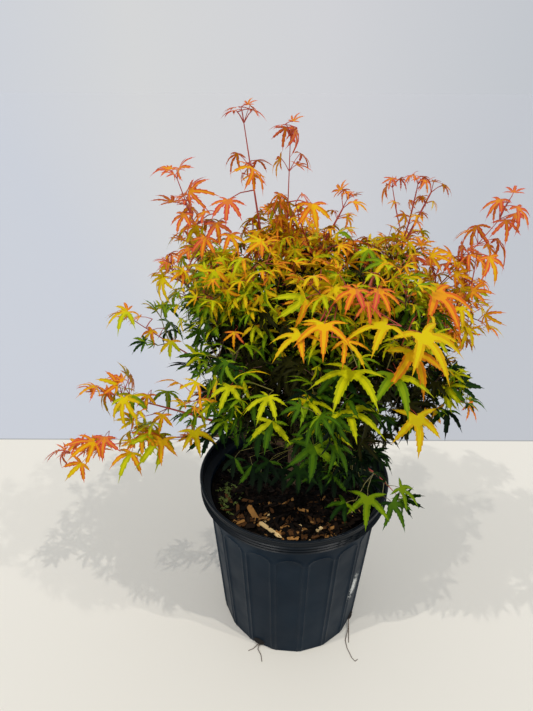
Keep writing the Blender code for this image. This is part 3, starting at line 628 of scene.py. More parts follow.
# Leaves that stand out, each on its own thin shoot, for each mass. x, y, z is where the blade
# begins, azimuth and pitch are which way its middle lobe points and how steeply it hangs.
FEATURES = {
    "front_mid": [
        (0.038, -0.165, 0.507, -118, 5, 0.048, 0.47, "broad_five"),
        (0.010, -0.170, 0.555, -100, 18, 0.034, 0.67, "broad_five"),
        (-0.010, -0.170, 0.545, -140, 15, 0.032, 0.59, "broad_five"),
        (0.028, -0.170, 0.540, -50, 20, 0.032, 0.60, "young"),
        (0.065, -0.160, 0.550, -168, 5, 0.043, 0.55, "broad_five"),
    ],
    "front_right": [
        (0.100, -0.150, 0.537, -58, 26, 0.051, 0.52, "broad_five"),
        (0.094, -0.150, 0.520, -68, 44, 0.045, 0.62, "broad_five"),
        (0.078, -0.160, 0.501, -75, 14, 0.043, 0.46, "broad_five"),
        (0.110, -0.145, 0.445, -80, 48, 0.040, 0.54, "broad_five"),
    ],
    "front": [
        (0.036, -0.165, 0.465, -35, 6, 0.043, 0.44, "broad_five"),
        (-0.001, -0.162, 0.474, -60, 10, 0.034, 0.42, "broad_seven"),
        (0.008, -0.160, 0.420, -88, 58, 0.038, 0.32, "broad_five"),
        (0.030, -0.155, 0.416, -45, 40, 0.032, 0.26, "broad_five"),
    ],
    "front_left": [
        (-0.037, -0.160, 0.477, -110, 12, 0.030, 0.40, "seven"),
        (-0.033, -0.155, 0.445, -108, 30, 0.032, 0.30),
        (-0.045, -0.125, 0.410, -112, 50, 0.032, 0.24),
        (-0.075, -0.125, 0.467, -110, 20, 0.030, 0.47),
        (-0.060, -0.125, 0.482, -50, -16, 0.030, 0.47, "young"),
    ],
    "heart_right": [
        (0.040, -0.135, 0.573, -120, 20, 0.030, 0.86),
        (0.060, -0.135, 0.573, -65, 20, 0.028, 0.80, "seven"),
        (0.050, -0.145, 0.565, -90, 36, 0.023, 0.84, "young"),
    ],
    "heart_front": [
        (-0.030, -0.080, 0.532, -95, 50, 0.024, 0.56),
        (-0.018, -0.080, 0.521, -60, 45, 0.022, 0.50, "seven"),
        (-0.037, -0.080, 0.508, -120, 40, 0.024, 0.44),
        (-0.012, -0.080, 0.501, -80, 55, 0.022, 0.42, "young"),
        (-0.025, -0.080, 0.485, -100, 40, 0.024, 0.38),
        (-0.044, -0.080, 0.489, -130, 50, 0.022, 0.30, "seven"),
        (-0.051, -0.080, 0.513, -110, 35, 0.022, 0.48),
        (-0.003, -0.080, 0.480, -70, 50, 0.024, 0.30),
    ],
    "left_fan": [
        (-0.072, -0.085, 0.508, -100, 48, 0.020, 0.76, "young"),
        (-0.105, -0.020, 0.590, -100, 40, 0.026, 0.78, "seven"),
        (-0.078, -0.020, 0.593, -60, 35, 0.026, 0.74),
        (-0.125, -0.010, 0.575, -140, 30, 0.024, 0.84),
    ],
    "upper_left": [
        (-0.105, -0.010, 0.615, -150, 35, 0.024, 0.86),
        (-0.093, -0.015, 0.604, -70, 45, 0.026, 0.80),
        (-0.120, -0.010, 0.604, -160, 40, 0.022, 0.90, "young"),
        (-0.127, -0.012, 0.613, -120, 40, 0.024, 0.84),
    ],
    "right_top": [
        (0.060, 0.015, 0.577, -120, 30, 0.026, 0.78),
        (0.080, 0.015, 0.567, -60, 35, 0.026, 0.70, "seven"),
        (0.100, 0.015, 0.553, -90, 40, 0.028, 0.66),
        (0.088, 0.010, 0.540, -110, 30, 0.028, 0.60, "seven"),
        (0.115, 0.015, 0.540, -50, 35, 0.028, 0.72),
        (0.130, 0.015, 0.560, -70, 40, 0.026, 0.80),
    ],
    "crown_top": [
        (0.000, 0.015, 0.580, -100, 35, 0.028, 0.72),
        (0.022, 0.015, 0.570, -60, 40, 0.028, 0.68, "seven"),
        (-0.018, 0.015, 0.566, -130, 35, 0.028, 0.78),
        (-0.001, 0.000, 0.566, -110, 40, 0.024, 0.58),
        (0.014, 0.000, 0.561, -70, 45, 0.026, 0.50, "seven"),
        (0.028, 0.000, 0.552, -90, 50, 0.024, 0.56),
        (0.008, 0.000, 0.545, -100, 55, 0.026, 0.44),
        (-0.011, 0.000, 0.553, -130, 40, 0.026, 0.62, "seven"),
        (0.038, 0.000, 0.568, -50, 40, 0.024, 0.64),
        (0.036, 0.015, 0.552, -80, 30, 0.030, 0.58, "seven"),
        (-0.045, 0.015, 0.572, -120, 40, 0.028, 0.82),
    ],
    "leader_left": [
        (-0.080, -0.015, 0.628, -90, 30, 0.030, 0.88, "seven"),
        (-0.068, 0.005, 0.715, 175, 4, 0.018, 0.86, "young"),
        (-0.055, 0.005, 0.713, -15, 18, 0.019, 0.84, "young"),
        (-0.059, 0.006, 0.717, 60, -45, 0.013, 0.80, "young"),
    ],
    "leader_mid": [
        (-0.023, 0.002, 0.699, 175, 6, 0.017, 0.88, "young"),
        (-0.013, 0.002, 0.702, 50, -50, 0.015, 0.84, "young"),
        (0.008, -0.025, 0.626, -80, 40, 0.032, 0.76),
    ],
    "right_side": [
        (0.132, -0.078, 0.550, -62, 22, 0.050, 0.74, "broad_five"),
        (0.198, -0.035, 0.574, -60, 48, 0.032, 0.72),
    ],
    "right_far": [
        (0.212, -0.002, 0.627, -150, 30, 0.026, 0.93),
        (0.230, -0.004, 0.620, -50, 34, 0.028, 0.95),
        (0.224, -0.002, 0.634, 60, -30, 0.020, 0.90, "young"),
        (0.221, -0.005, 0.606, -90, 50, 0.028, 0.93, "young"),
    ],
    "right_low": [
        (0.198, -0.060, 0.404, -45, 40, 0.026, 0.82, "young"),
    ],
    "arm_low": [
        (-0.277, -0.030, 0.327, -165, 20, 0.031, 0.95),
        (-0.248, -0.030, 0.332, -95, 44, 0.032, 0.88),
        (-0.198, -0.030, 0.338, -90, 34, 0.030, 0.76),
        (-0.172, -0.035, 0.332, -95, 50, 0.033, 0.62, "broad_five"),
        (-0.125, -0.065, 0.368, -68, 34, 0.032, 0.52, "broad_five"),
    ],
    "arm_mid": [
        (-0.229, 0.000, 0.403, 165, 0, 0.021, 0.90),
        (-0.243, 0.000, 0.384, -130, 48, 0.021, 0.86, "young"),
        (-0.191, -0.010, 0.384, -95, 32, 0.023, 0.68),
        (-0.172, -0.020, 0.361, -100, 44, 0.026, 0.60),
    ],
    "arm_high": [
        (-0.191, 0.000, 0.488, 178, 12, 0.021, 0.74, "young"),
        (-0.177, -0.005, 0.473, -140, 36, 0.026, 0.62),
        (-0.154, -0.010, 0.461, -100, 40, 0.024, 0.50),
    ],
    "back_mid": [
        (-0.010, 0.200, 0.555, 95, 30, 0.030, 0.72, "seven"),
        (0.015, 0.198, 0.540, 70, 35, 0.030, 0.62),
        (-0.035, 0.196, 0.535, 120, 30, 0.028, 0.66),
    ],
    "back_left": [
        (-0.140, 0.185, 0.510, 110, 30, 0.028, 0.62, "seven"),
        (-0.120, 0.190, 0.495, 85, 40, 0.028, 0.56),
    ],
    "back_right": [
        (0.115, 0.198, 0.505, 75, 30, 0.030, 0.60, "seven"),
        (0.135, 0.190, 0.490, 55, 35, 0.028, 0.56),
    ],
    "back_low_left": [
        (-0.105, 0.198, 0.385, 100, 30, 0.030, 0.42),
        (-0.080, 0.195, 0.370, 80, 40, 0.028, 0.38, "seven"),
    ],
    "back_low_right": [
        (0.085, 0.200, 0.390, 80, 30, 0.030, 0.44),
        (0.110, 0.195, 0.375, 60, 40, 0.028, 0.40, "seven"),
    ],
    # These hanging leaves low under the crown have heats for the darkest greens, which are partly
    # painted shade.
    "front_low": [
        (-0.075, -0.100, 0.355, -110, 55, 0.028, 0.12),
        (-0.055, -0.100, 0.345, -80, 60, 0.030, 0.08, "seven"),
        (-0.035, -0.105, 0.355, -120, 50, 0.030, 0.14),
        (-0.020, -0.100, 0.340, -70, 60, 0.032, 0.06),
        (0.000, -0.105, 0.345, -100, 62, 0.032, 0.14, "broad_five"),
        (0.020, -0.100, 0.335, -60, 55, 0.032, 0.10, "broad_seven"),
        (0.015, -0.105, 0.360, -120, 50, 0.030, 0.22),
        (-0.045, -0.090, 0.325, -95, 60, 0.028, 0.04),
        (0.040, -0.095, 0.325, -85, 50, 0.032, 0.12),
        (0.000, -0.085, 0.320, -90, 60, 0.030, 0.04),
    ],
    "rim_sprig": [
        (0.078, -0.120, 0.316, -100, 36, 0.037, 0.28, "broad_five"),
        (0.108, -0.116, 0.304, -58, 32, 0.035, 0.26, "broad_five"),
        (0.052, -0.128, 0.314, -150, 20, 0.030, 0.24),
        (0.121, -0.098, 0.310, -25, 24, 0.032, 0.28, "broad_five"),
    ],
}


class Crowd:
    """Where blades already are, so that none is put on top of another."""

    CELL = 0.02

    def __init__(self):
        self.cells = {}

    def key(self, point):
        return tuple(int(c // self.CELL) for c in point)

    def add(self, point, room):
        self.cells.setdefault(self.key(point), []).append((point, room))

    def near(self, point, room):
        around = product(*((c - 1, c, c + 1) for c in self.key(point)))
        return any(
            (point - other).length < max(room, its_room)
            for cell in around
            for other, its_room in self.cells.get(cell, ())
        )


class Growth:
    """The twigs and leaves of one mass, finer than its solid but within the same space."""

    def __init__(self, limb, space, crowd):
        self.limb, self.space, self.crowd, self.mass = limb, space, crowd, limb.mass
        self.slender = self.mass.name in SLENDER
        self.arm = self.mass.name in LEAFY_ARMS
        self.rng = random.Random(f"{SEED} {self.mass.name} fine")
        self.shoots, self.leaves = [], []
        for row in FEATURES.get(self.mass.name, ()):
            self.feature(Feature(*row))

    def grow(self):
        kind = RED if self.slender or self.limb.tip.z > CANOPY_TOP else BROWN
        self.shoots.append(self.limb.run(samples(self.mass.share, 1, STEM_STEPS), kind))
        if self.slender:
            self.whorls()
        else:
            self.bush()
        first = self.rng.uniform(0, FULL_TURN)
        for number in range(self.mass.spikes):
            self.spike(number, first + SPIKE_TURN * number)
        tip = self.limb.tip
        self.tip(tip, self.limb.direction(STEM_END), 0, self.heat(tip), STEM_END_SIZE)

    def bush(self):
        """Opposite twigs all the way up the stem, shorter towards its tip."""
        mass, limb, rng = self.mass, self.limb, self.rng
        length = limb.length * (1 - mass.share)
        count = max(FEWEST_NODES, round(length / STEM_NODE))
        turn = rng.uniform(0, math.pi)
        for i in range(count):
            along = (i + FIRST_NODE) / count
            t = mass.share + (1 - mass.share) * along
            taper = 1 - (1 - TIP_SHARE) * along
            turn += math.pi / 2 + rng.uniform(-STEM_TURN_VARIES, STEM_TURN_VARIES)
            point = limb.point(t)
            for across in pair(limb.direction(t), turn):
                if over_canopy(point):
                    way = tilt(limb.direction(t), across, LEAF_SPREAD)
                    self.leaf(point, way, self.heat(point), YOUNG_SIZE)
                    continue
                way = tilt(limb.direction(t), across, TWIG_SPREAD)
                reach = mass.spread * TWIG_REACH * taper * rng.uniform(*TWIG_LENGTHS)
                self.twig(point, way, reach * mass.fullness, 1)

    def spike(self, number, turn):
        """A young shoot that stands up out of the mass, with small leaves in pairs."""
        mass, limb, rng = self.mass, self.limb, self.rng
        along = SPIKES_FROM + (1 - SPIKES_FROM) * (number + rng.random()) / mass.spikes
        t = mass.share + (1 - mass.share) * along
        way = (heading(turn) * rng.uniform(*SPIKE_LEANS) + UP).normalized()
        points = self.climb(limb.point(t) + way * mass.spread * SPIKE_OUT, way)
        if len(points) < 3:
            return
        radii = [SPIKE_RADIUS] * (len(points) - 1) + [TWIG_END_RADIUS]
        self.shoots.append(Shoot(points, radii, RED))
        for i, point in enumerate(points[1:], start=1):
            along = (points[i] - points[i - 1]).normalized()
            heat = max(SPIKE_HEAT, self.heat(point)) + SPIKE_REDDENS * i
            turn += math.pi / 2
            for across in pair(along, turn):
                self.leaf(point, tilt(along, across, SPIKE_SPREAD), heat, YOUNG_SIZE)
        self.tip(points[-1], along, turn, heat, SPIKE_END_SIZE)

    def climb(self, point, way):
        """The nodes of a young shoot from this point up, as far as its mass has room."""
        rng = self.rng
        points = []
        top = self.limb.tip.z + SPIKE_RISE
        while self.space.holds(self.mass.name, point) and point.z < top:
            points.append(point)
            aside = rng.uniform(-SPIKE_SWAY, SPIKE_SWAY), rng.uniform(-SPIKE_SWAY, SPIKE_SWAY)
            way = (way + Vector((*aside, SPIKE_LIFT))).normalized()
            point = point + way * SPIKE_NODE
        return points[:-1]

    def whorls(self):
        """Leaves and short side shoots at each node, with bare stem between the nodes."""
        mass, limb, rng = self.mass, self.limb, self.rng
        first = mass.share - (ARM_LEAD if self.arm else 0)
        length = limb.length * (1 - first)
        count = max(FEWEST_WHORLS, round(length / WHORL_STEP)) + (0 if self.arm else EXTRA_WHORLS)
        places = [((i + FIRST_WHORL) / count) ** WHORL_CROWDING for i in range(count)]
        turn = rng.uniform(0, math.pi)
        for along in BARE_SHOOTS.get(mass.name, places):
            t = first + (1 - first) * along
            point, way = limb.point(t), limb.direction(t)
            heat = self.heat(point)
            turn += math.pi / 2 + rng.uniform(-TURN_VARIES, TURN_VARIES)
            for across in pair(way, turn):
                share = ARM_TWIG_REACH if self.arm else WHORL_TWIG_REACH - WHORL_TWIG_TAPER * along
                reach = mass.spread * TWIG_REACH * share * rng.uniform(*WHORL_TWIG_LENGTHS)
                if not self.arm or rng.random() < ARM_TWIG_CHANCE:
                    order = 2 if along < FULL_BASE and mass.name in FULL_BASES else LAST_ORDER
                    self.twig(point, tilt(way, across, WHORL_TWIG_SPREAD), reach, order)
                size = ARM_SIZE if self.arm else WHORL_SIZE
                self.leaf(point, tilt(way, across, WHORL_LEAF_SPREAD), heat, size)
            for across in pair(way, turn + math.pi / 2):
                if rng.random() < BETWEEN_CHANCE:
                    aside = tilt(way, across, WHORL_BETWEEN_SPREAD)
                    self.leaf(point, aside, heat + BETWEEN_RED, BETWEEN_SIZE)

    def heat(self, point):
        """How red the leaves of a spray are: most at the crown's top, outside and tips."""
        rel = point - CROWN_MIDDLE
        out = math.sqrt(sum((a / b) ** 2 for a, b in zip(rel, CROWN_HALF)))
        own = self.space.nearness(self.mass.name, point)
        middle = self.limb.point((1 + self.mass.share) / 2)
        # Deep in the crown the heat drops: those greener, darker leaves are partly their own colour,
        # partly painted shade.
        heat = (
            self.mass.heat
            + (SLENDER_GREEN if self.slender else INNER_GREEN) * (own - HALF_OUT)
            + HEAT_PER_METRE * (point.z - middle.z)
            - DEEP_GREEN_AND_SHADE * max(0.0, DEEP - out)
            + self.along_arm(point)
            + self.rng.gauss(0, HEAT_VARIES)
        )
        return max(heat, WARM_ABOVE * (point.z - WARM_FROM))

    def along_arm(self, point):
        """Arms redden towards their tips; the rest of the plant takes greener, darker tints low in
        front, as painted shade under the crown.
        """
        if self.arm:
            return ARM_HEAT * (math.hypot(point.x, point.y) - ARM_MIDDLE)
        return -LOW_SHADE * max(0.0, LOW - point.z) if point.y < BEHIND else 0.0

    def twig(self, start, way, length, order):
        """A twig that arches up a little, with opposite pairs of leaves and side shoots."""
        rng = self.rng
        points, way = self.twig_points(start, way, length)
        if len(points) < 2:
            self.leaf(start, way, self.heat(start), BLUNT_SIZE)
            return
        heat = self.heat(points[-1])
        last = len(points) - 1
        root = TWIG_RADII[order]
        radii = [root + (TWIG_END_RADIUS - root) * i / last for i in range(len(points))]
        young = heat > RED_TWIG or (order > 1 and heat > RED_SIDE_TWIG)
        self.shoots.append(Shoot(points, radii, RED if young else (GREEN if order > 1 else BROWN)))
        turn = rng.uniform(0, math.pi)
        for i, point in enumerate(points[1:-1]):
            along = (points[i + 2] - points[i]).normalized()
            turn += math.pi / 2
            left = 1 - (i + 1) / len(points)
            here = heat - TWIG_GREEN * left
            for across in pair(along, turn + rng.uniform(-TURN_VARIES, TURN_VARIES)):
                if order < LAST_ORDER and rng.random() < SIDE_SHOOT_CHANCE:
                    reach = SIDE_SHOOT_SHARE * (length * left) * rng.uniform(*SIDE_SHOOT_LENGTHS)
                    self.twig(point, tilt(along, across, SIDE_SPREAD), reach, order + 1)
                self.leaf(point, tilt(along, across, LEAF_SPREAD), here, 1.0)
        self.tip(points[-1], (points[-1] - points[-2]).normalized(), turn, heat, BLUNT_SIZE)

    def twig_points(self, start, way, length):
        """The nodes of a twig, as far as its mass has room, and which way it last went."""
        points = [start]
        if length < SHORTEST_SHOOT:
            return points, way
        count = max(1, round(length / TWIG_NODE))
        step = length / count
        for _ in range(count):
            sway = Vector([self.rng.uniform(-TWIG_SWAY, TWIG_SWAY) for _ in range(3)])
            way = (way + UP * TWIG_LIFT * TWIG_ARCH + sway).normalized()
            point = points[-1] + way * step
            if not self.space.holds(self.mass.name, point):
                break
            if over_canopy(point) and not self.slender:
                break
            points.append(point)
        return points, way

    def tip(self, end, along, turn, heat, size):
        """The leaves at a shoot's end: a pair to the sides, and often small ones ahead."""
        for across in pair(along, turn + math.pi / 2):
            way = tilt(along, across, TIP_SPREAD)
            self.leaf(end, way, heat + TIP_RED, size * TIP_SIZE, LOWEST_TIP_PITCH)
        for across in pair(along, turn):
            if self.rng.random() < AHEAD_CHANCE:
                way = tilt(along, across, END_SPREAD)
                small = size * self.rng.uniform(*AHEAD_SIZES)
                self.leaf(end, way, heat + AHEAD_RED, small, LOWEST_AHEAD_PITCH)

    def leaf(self, root, outward, heat, size, lowest=LOWEST_PITCH):
        """A leaf on its arching stalk, if there is room: its blade faces up and hangs outward."""
        rng = self.rng
        length = LEAF_LENGTH * self.mass.leaf * size * rng.triangular(*LENGTH_VARIES)
        inner = self.space.nearness(self.mass.name, root) < INNER_SHARE
        if inner and not self.slender:
            length *= INNER_SIZE
        neck, forward, up = self.hung(root, outward, size, lowest)
        droop = rng.uniform(*DROOPS)
        middle = neck + forward * length * BLADE_MIDDLE
        end = neck + (forward * BLADE_END - up * droop * BLADE_SINK) * length
        if not self.has_room(neck, middle, end, length):
            return
        self.crowd.add(middle, 0)
        tint = heat + rng.gauss(0, TINT_VARIES)
        form = self.form(tint)
        # Most leaves in the heart of the crown take the dark tint that paints its shade.
        if in_shade(middle) and not self.slender and rng.random() < SHADED_SHARE:
            tint = SHADE_TINT
        self.leaves.append(Leaf(root, neck, forward, up, length, droop, tint, form))

    def hung(self, root, outward, size, lowest):
        """Where a blade begins, which way its middle lobe points, and which way it faces."""
        rng = self.rng
        flat = Vector((outward.x, outward.y, 0))
        if flat.length < UPRIGHT:
            flat = heading(rng.uniform(0, FULL_TURN))
        flat.normalize()
        stalk = (outward + UP * STALK_RISE).normalized()
        neck = root + stalk * PETIOLE_LENGTH * size * rng.uniform(*STALK_VARIES)
        pitches = STEEP_PITCHES if rng.random() < HANGING else (lowest, lowest + PITCH_RANGE)
        forward = aimed(flat, math.radians(rng.uniform(*pitches)))
        return neck, forward, facing(forward, math.radians(rng.gauss(0, ROLL_VARIES)))

    def has_room(self, neck, middle, end, length):
        space, name = self.space, self.mass.name
        if not (space.holds(name, neck) and space.holds(name, end)):
            return False
        outer = space.nearness(name, middle) > OUTER_SHARE
        if outer and not self.slender and self.rng.random() > OUTER_KEPT:
            return False
        return not self.crowd.near(middle, length * LEAF_CROWDING)

    def form(self, tint):
        """Which of the blades: the narrow young ones are more common on the red shoots."""
        rng = self.rng
        young = rng.random() < NARROW_CHANCE + NARROW_MORE * (tint > NARROW_FROM)
        kind = "young" if young else rng.choice(("seven", "five"))
        return kind, rng.randrange(BLADES_OF_A_KIND)

    def feature(self, row):
        """A leaf whose place is given, on a thin shoot from the nearest part of the stem."""
        neck = Vector((row.x, row.y, row.z))
        flat = heading(math.radians(row.azimuth))
        forward = aimed(flat, math.radians(row.pitch))
        up = facing(forward, 0)
        root = neck - flat * FEATURE_STALK - up * FEATURE_STALK_RISE * FEATURE_STALK
        stem = [self.limb.point(t) for t in samples(self.mass.share, 1, FEATURE_STEM_STEPS)]
        start = min(stem, key=lambda point: (point - root).length)
        kind = RED if row.heat > RED_FEATURE_STALK else GREEN
        self.shoots.append(Shoot(arched(start, root, FEATURE_ARCH), FEATURE_RADII, kind))
        form = row.form, len(self.leaves) % BLADES_OF_A_KIND
        self.leaves.append(Leaf(root, neck, forward, up, row.length, FEATURE_DROOP, row.heat, form))
        for share in FEATURE_MIDDLES:
            self.crowd.add(neck + forward * row.length * share, row.length * FEATURE_ROOM)


def in_shade(point):
    rel = point - SHADE_MIDDLE
    return sum((a / b) ** 2 for a, b in zip(rel, SHADE_HALF)) < 1


def over_canopy(point):
    return point.z > CANOPY_TOP - CANOPY_SLOPE * point.y


def aimed(flat, pitch):
    """A level direction turned down by the pitch."""
    return flat * math.cos(pitch) + Vector((0, 0, -math.sin(pitch)))


def facing(forward, roll):
    """Which way a blade's upper side faces, for where its middle lobe points."""
    side = forward.cross(UP).normalized()
    return Matrix.Rotation(roll, 3, forward) @ side.cross(forward).normalized()


def pair(along, turn):
    """Two opposite directions across the path."""
    across = along.orthogonal().normalized()
    across.rotate(Matrix.Rotation(turn, 3, along))
    return across, -across


def arched(start, end, arch):
    """Three points from start to end, with the middle one raised."""
    return [start, start.lerp(end, ARCH_PLACE) + UP * arch * (end - start).length, end]


def tilt(along, across, spread):
    return (along * math.cos(spread) + across * math.sin(spread)).normalized()


# ---------------------------------------------------------------- blades
Form = namedtuple("Form", "lobes notch half_width edge")
Edge = namedtuple("Edge", "stations widths tooth")

# Along a lobe from its root to its tip, and how wide it is at each but the first and last.
PLAIN = Edge((0.26, 0.44, 0.63, 0.82, 1.0), (1.0, 0.86, 0.32), 0.032)
FINE = Edge((0.26, 0.36, 0.47, 0.58, 0.70, 0.83, 1.0), (1.0, 1.02, 0.88, 0.62, 0.33), 0.021)
# Lobes as their angle from the middle one and their length, on both sides.
FORMS = {
    "seven": Form(((0, 1.0), (37, 0.92), (73, 0.70), (114, 0.38)), 0.24, 0.082, PLAIN),
    "five": Form(((0, 1.0), (45, 0.88), (92, 0.56)), 0.24, 0.096, PLAIN),
    "young": Form(((0, 1.0), (42, 0.90), (82, 0.58)), 0.18, 0.062, PLAIN),
    "broad_seven": Form(((0, 1.0), (40, 0.95), (80, 0.76), (124, 0.46)), 0.25, 0.078, FINE),
    "broad_five": Form(((0, 1.0), (50, 0.93), (106, 0.64)), 0.26, 0.090, FINE),
}
BLADES_OF_A_KIND = 4
# The blade's outer part, from this share of the way to its edge, has its own tint.
RIM_SHARE = 0.50
# Where a tooth is between two stations, and how far it leans towards the tip for its width.
TOOTH_PLACE = 0.70
TOOTH_LEAN = 1.4
FOLD = 0.55
LOBE_TURN = 4
LOBE_BEND = 0.10
LOBE_LENGTHS = (0.94, 1.05)
DROOP_POWER = 2.4
BASE_ANGLE = math.radians(24)
BASE_NOTCH = 0.08
# A lobe may be a tint cooler or hotter than its leaf.
LOBE_STEPS = (-1, 0, 0, 0, 1)
TINT_LIFT = 0.02
BLADE, MARGIN = range(2)


class Blade:
    """A lobed, toothed blade of unit length: its points, its faces, and the tint of each face."""

    def __init__(self, form, seed):
        self.form = form
        self.rng = random.Random(f"{SEED} blade {seed}")
        self.tones = random.Random(f"{SEED} tones {seed}")
        self.step = 0
        self.points, self.faces, self.parts = [(0.0, 0.0, 0.0)], [], []
        angles = sorted(
            (math.radians(sign * angle), length)
            for angle, length in form.lobes
            for sign in ((1, -1) if angle else (1,))
        )
        turns = [math.radians(self.rng.uniform(-LOBE_TURN, LOBE_TURN)) for _ in angles]
        angles = [(angle + turn, length) for (angle, length), turn in zip(angles, turns)]
        last = angles[-1][0] + BASE_ANGLE
        bounds = [(a[0] + b[0]) / 2 for a, b in zip(angles, angles[1:])]
        bounds = [-last] + bounds + [last]
        depths = [form.notch * min(a[1], b[1]) ** 0.5 for a, b in zip(angles, angles[1:])]
        depths = [BASE_NOTCH] + depths + [BASE_NOTCH]
        notches = [self.add(d * math.cos(a), d * math.sin(a)) for a, d in zip(bounds, depths)]
        for i, (angle, length) in enumerate(angles):
            self.lobe(angle, length, notches[i], notches[i + 1])

    def add(self, forward, side, rise=0.0):
        self.points.append((forward, side, rise))
        return len(self.points) - 1

    def lobe(self, angle, length, low, high):
        bend = self.rng.uniform(-LOBE_BEND, LOBE_BEND)
        self.step = self.tones.choice(LOBE_STEPS)
        length *= self.rng.uniform(*LOBE_LENGTHS)
        ways = [angle + bend * s for s in self.form.edge.stations]
        reaches = [s * length for s in self.form.edge.stations]
        ribs = [self.add(r * math.cos(a), r * math.sin(a)) for r, a in zip(reaches, ways)]
        for sign, notch in ((-1, low), (1, high)):
            self.half_lobe(ribs, ways, sign, notch, length)

    def half_lobe(self, ribs, ways, sign, notch, length):
        edge, inner = [notch], [self.between(ribs[0], notch)]
        for k, share in enumerate(self.form.edge.widths, start=1):
            half = share * self.form.half_width * length
            edge.append(self.beside(ribs[k], ways[k], sign * half))
            inner.append(self.between(ribs[k], edge[-1]))
        self.face((0, ribs[0], notch), sign, BLADE)
        for k in range(len(edge) - 1):
            self.face((ribs[k], ribs[k + 1], inner[k + 1], inner[k]), sign, BLADE)
            self.face((inner[k], inner[k + 1], edge[k + 1], edge[k]), sign, MARGIN)
            self.tooth(edge[k], edge[k + 1], ways[k + 1], sign, length)
        self.face((ribs[-2], ribs[-1], inner[-1]), sign, MARGIN)
        self.face((inner[-1], ribs[-1], edge[-1]), sign, MARGIN)

    def between(self, rib, edge):
        a, b = self.points[rib], self.points[edge]
        return self.add(*(x + (y - x) * RIM_SHARE for x, y in zip(a, b)))

    def beside(self, rib, way, offset):
        x, y, _ = self.points[rib]
        rise = FOLD * abs(offset)
        return self.add(x - math.sin(way) * offset, y + math.cos(way) * offset, rise)

    def tooth(self, first, second, way, sign, length):
        a, b = self.points[first], self.points[second]
        x, y, z = (p + (q - p) * TOOTH_PLACE for p, q in zip(a, b))
        out = self.form.edge.tooth * length
        x += (math.cos(way) * TOOTH_LEAN - math.sin(way) * sign) * out
        y += (math.sin(way) * TOOTH_LEAN + math.cos(way) * sign) * out
        self.face((first, second, self.add(x, y, z)), sign, MARGIN)

    def face(self, ring, sign, part):
        self.faces.append(ring if sign > 0 else ring[::-1])
        self.parts.append((self.step, part))


def placed(blade, leaf):
    """The blade's points where the leaf is, drooping more towards the tips of its lobes."""
    side = leaf.up.cross(leaf.forward).normalized()
    flat = np.array(blade.points) * leaf.length
    reach = np.hypot(flat[:, 0], flat[:, 1]) / leaf.length
    span = leaf.length * reach**DROOP_POWER
    rise = flat[:, 2] - leaf.droop * span
    return (
        np.array(leaf.neck)
        + np.outer(flat[:, 0], leaf.forward)
        + np.outer(flat[:, 1], side)
        + np.outer(rise, leaf.up)
    )


def tint_index(tint, step):
    if tint == SHADE_TINT:
        return SHADED
    return max(0, min(SHADED - 1, int((tint + TINT_LIFT) * SHADED) + step))


# ---------------------------------------------------------------- meshes
def merged(pieces):
    """Many small pieces as one, from the points and faces of each."""
    points, faces, first = [], [], 0
    for some_points, some_faces in pieces:
        points.append(some_points)
        faces += [tuple(i + first for i in face) for face in some_faces]
        first += len(some_points)
    return np.concatenate(points), faces


def mesh_from(name, points, faces, parts, materials):
    """A mesh of many faces, made at once from arrays, with the materials that its parts use."""
    mesh = bpy.data.meshes.new(name)
    sizes = np.array([len(f) for f in faces])
    starts = np.concatenate(([0], np.cumsum(sizes)[:-1]))
    used = sorted(set(parts))
    mesh.vertices.add(len(points))
    mesh.vertices.foreach_set("co", np.asarray(points, dtype=np.float32).ravel())
    mesh.loops.add(int(sizes.sum()))
    mesh.loops.foreach_set("vertex_index", np.concatenate([np.asarray(f) for f in faces]))
    mesh.polygons.add(len(faces))
    mesh.polygons.foreach_set("loop_start", starts)
    mesh.polygons.foreach_set("material_index", np.array([used.index(part) for part in parts]))
    mesh.update(calc_edges=True)
    mesh.shade_smooth()
    for part in used:
        mesh.materials.append(materials[part])
    return mesh


def finished(bm, name, *materials, smooth=True):
    """The mesh of what was built."""
    mesh = bpy.data.meshes.new(name)
    bm.to_mesh(mesh)
    bm.free()
    if smooth:
        mesh.shade_smooth()
    for made in materials:
        mesh.materials.append(made)
    return mesh


def skin(bm, rings):
    """Faces between each closed ring of points and the next."""
    for low, high in zip(rings, rings[1:]):
        for i in range(len(low)):
            j = (i + 1) % len(low)
            bm.faces.new((low[i], low[j], high[j], high[i]))


def linked(name, data):
    obj = bpy.data.objects.new(name, data)
    bpy.context.scene.collection.objects.link(obj)
    return obj


def shown(mesh, slot, *nodes):
    obj = linked(mesh.name, mesh)
    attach(obj, "root")
    if nodes:
        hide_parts(*nodes)
    return obj


def evaluated_mesh(obj):
    bpy.context.view_layer.update()
    return bpy.data.meshes.new_from_object(obj.evaluated_get(bpy.context.evaluated_depsgraph_get()))


def tubes(name, shoots, materials, resolution=0):
    """One mesh of tapering tubes, from a curve with a bevel: a shoot's kind is its material."""
    curve = bpy.data.curves.new(name, "CURVE")
    curve.dimensions = "3D"
    curve.bevel_depth = 1.0
    curve.bevel_resolution = resolution
    curve.use_fill_caps = True
    for _ in materials:
        curve.materials.append(None)
    for shoot in shoots:
        spline = curve.splines.new("POLY")
        spline.points.add(len(shoot.points) - 1)
        for knot, point, radius in zip(spline.points, shoot.points, shoot.radii):
            knot.co = (*point, 1)
            knot.radius = radius
        spline.material_index = shoot.kind
        spline.use_smooth = True
    path = linked(name, curve)
    mesh = evaluated_mesh(path)
    mesh.name = name
    for i, made in enumerate(materials):
        mesh.materials[i] = made
    bpy.data.objects.remove(path, do_unlink=True)
    bpy.data.curves.remove(curve)
    return mesh


# ---------------------------------------------------------------- foliage, trunk and boughs
STALK_RADII = [0.00055, 0.0004, 0.0005]
TRUNK_STEPS = 28
TRUNK_CROWDING = 1.5
BOUGH_STEP = 0.005
FEWEST_STEPS = 6
BARK_RESOLUTION = 3
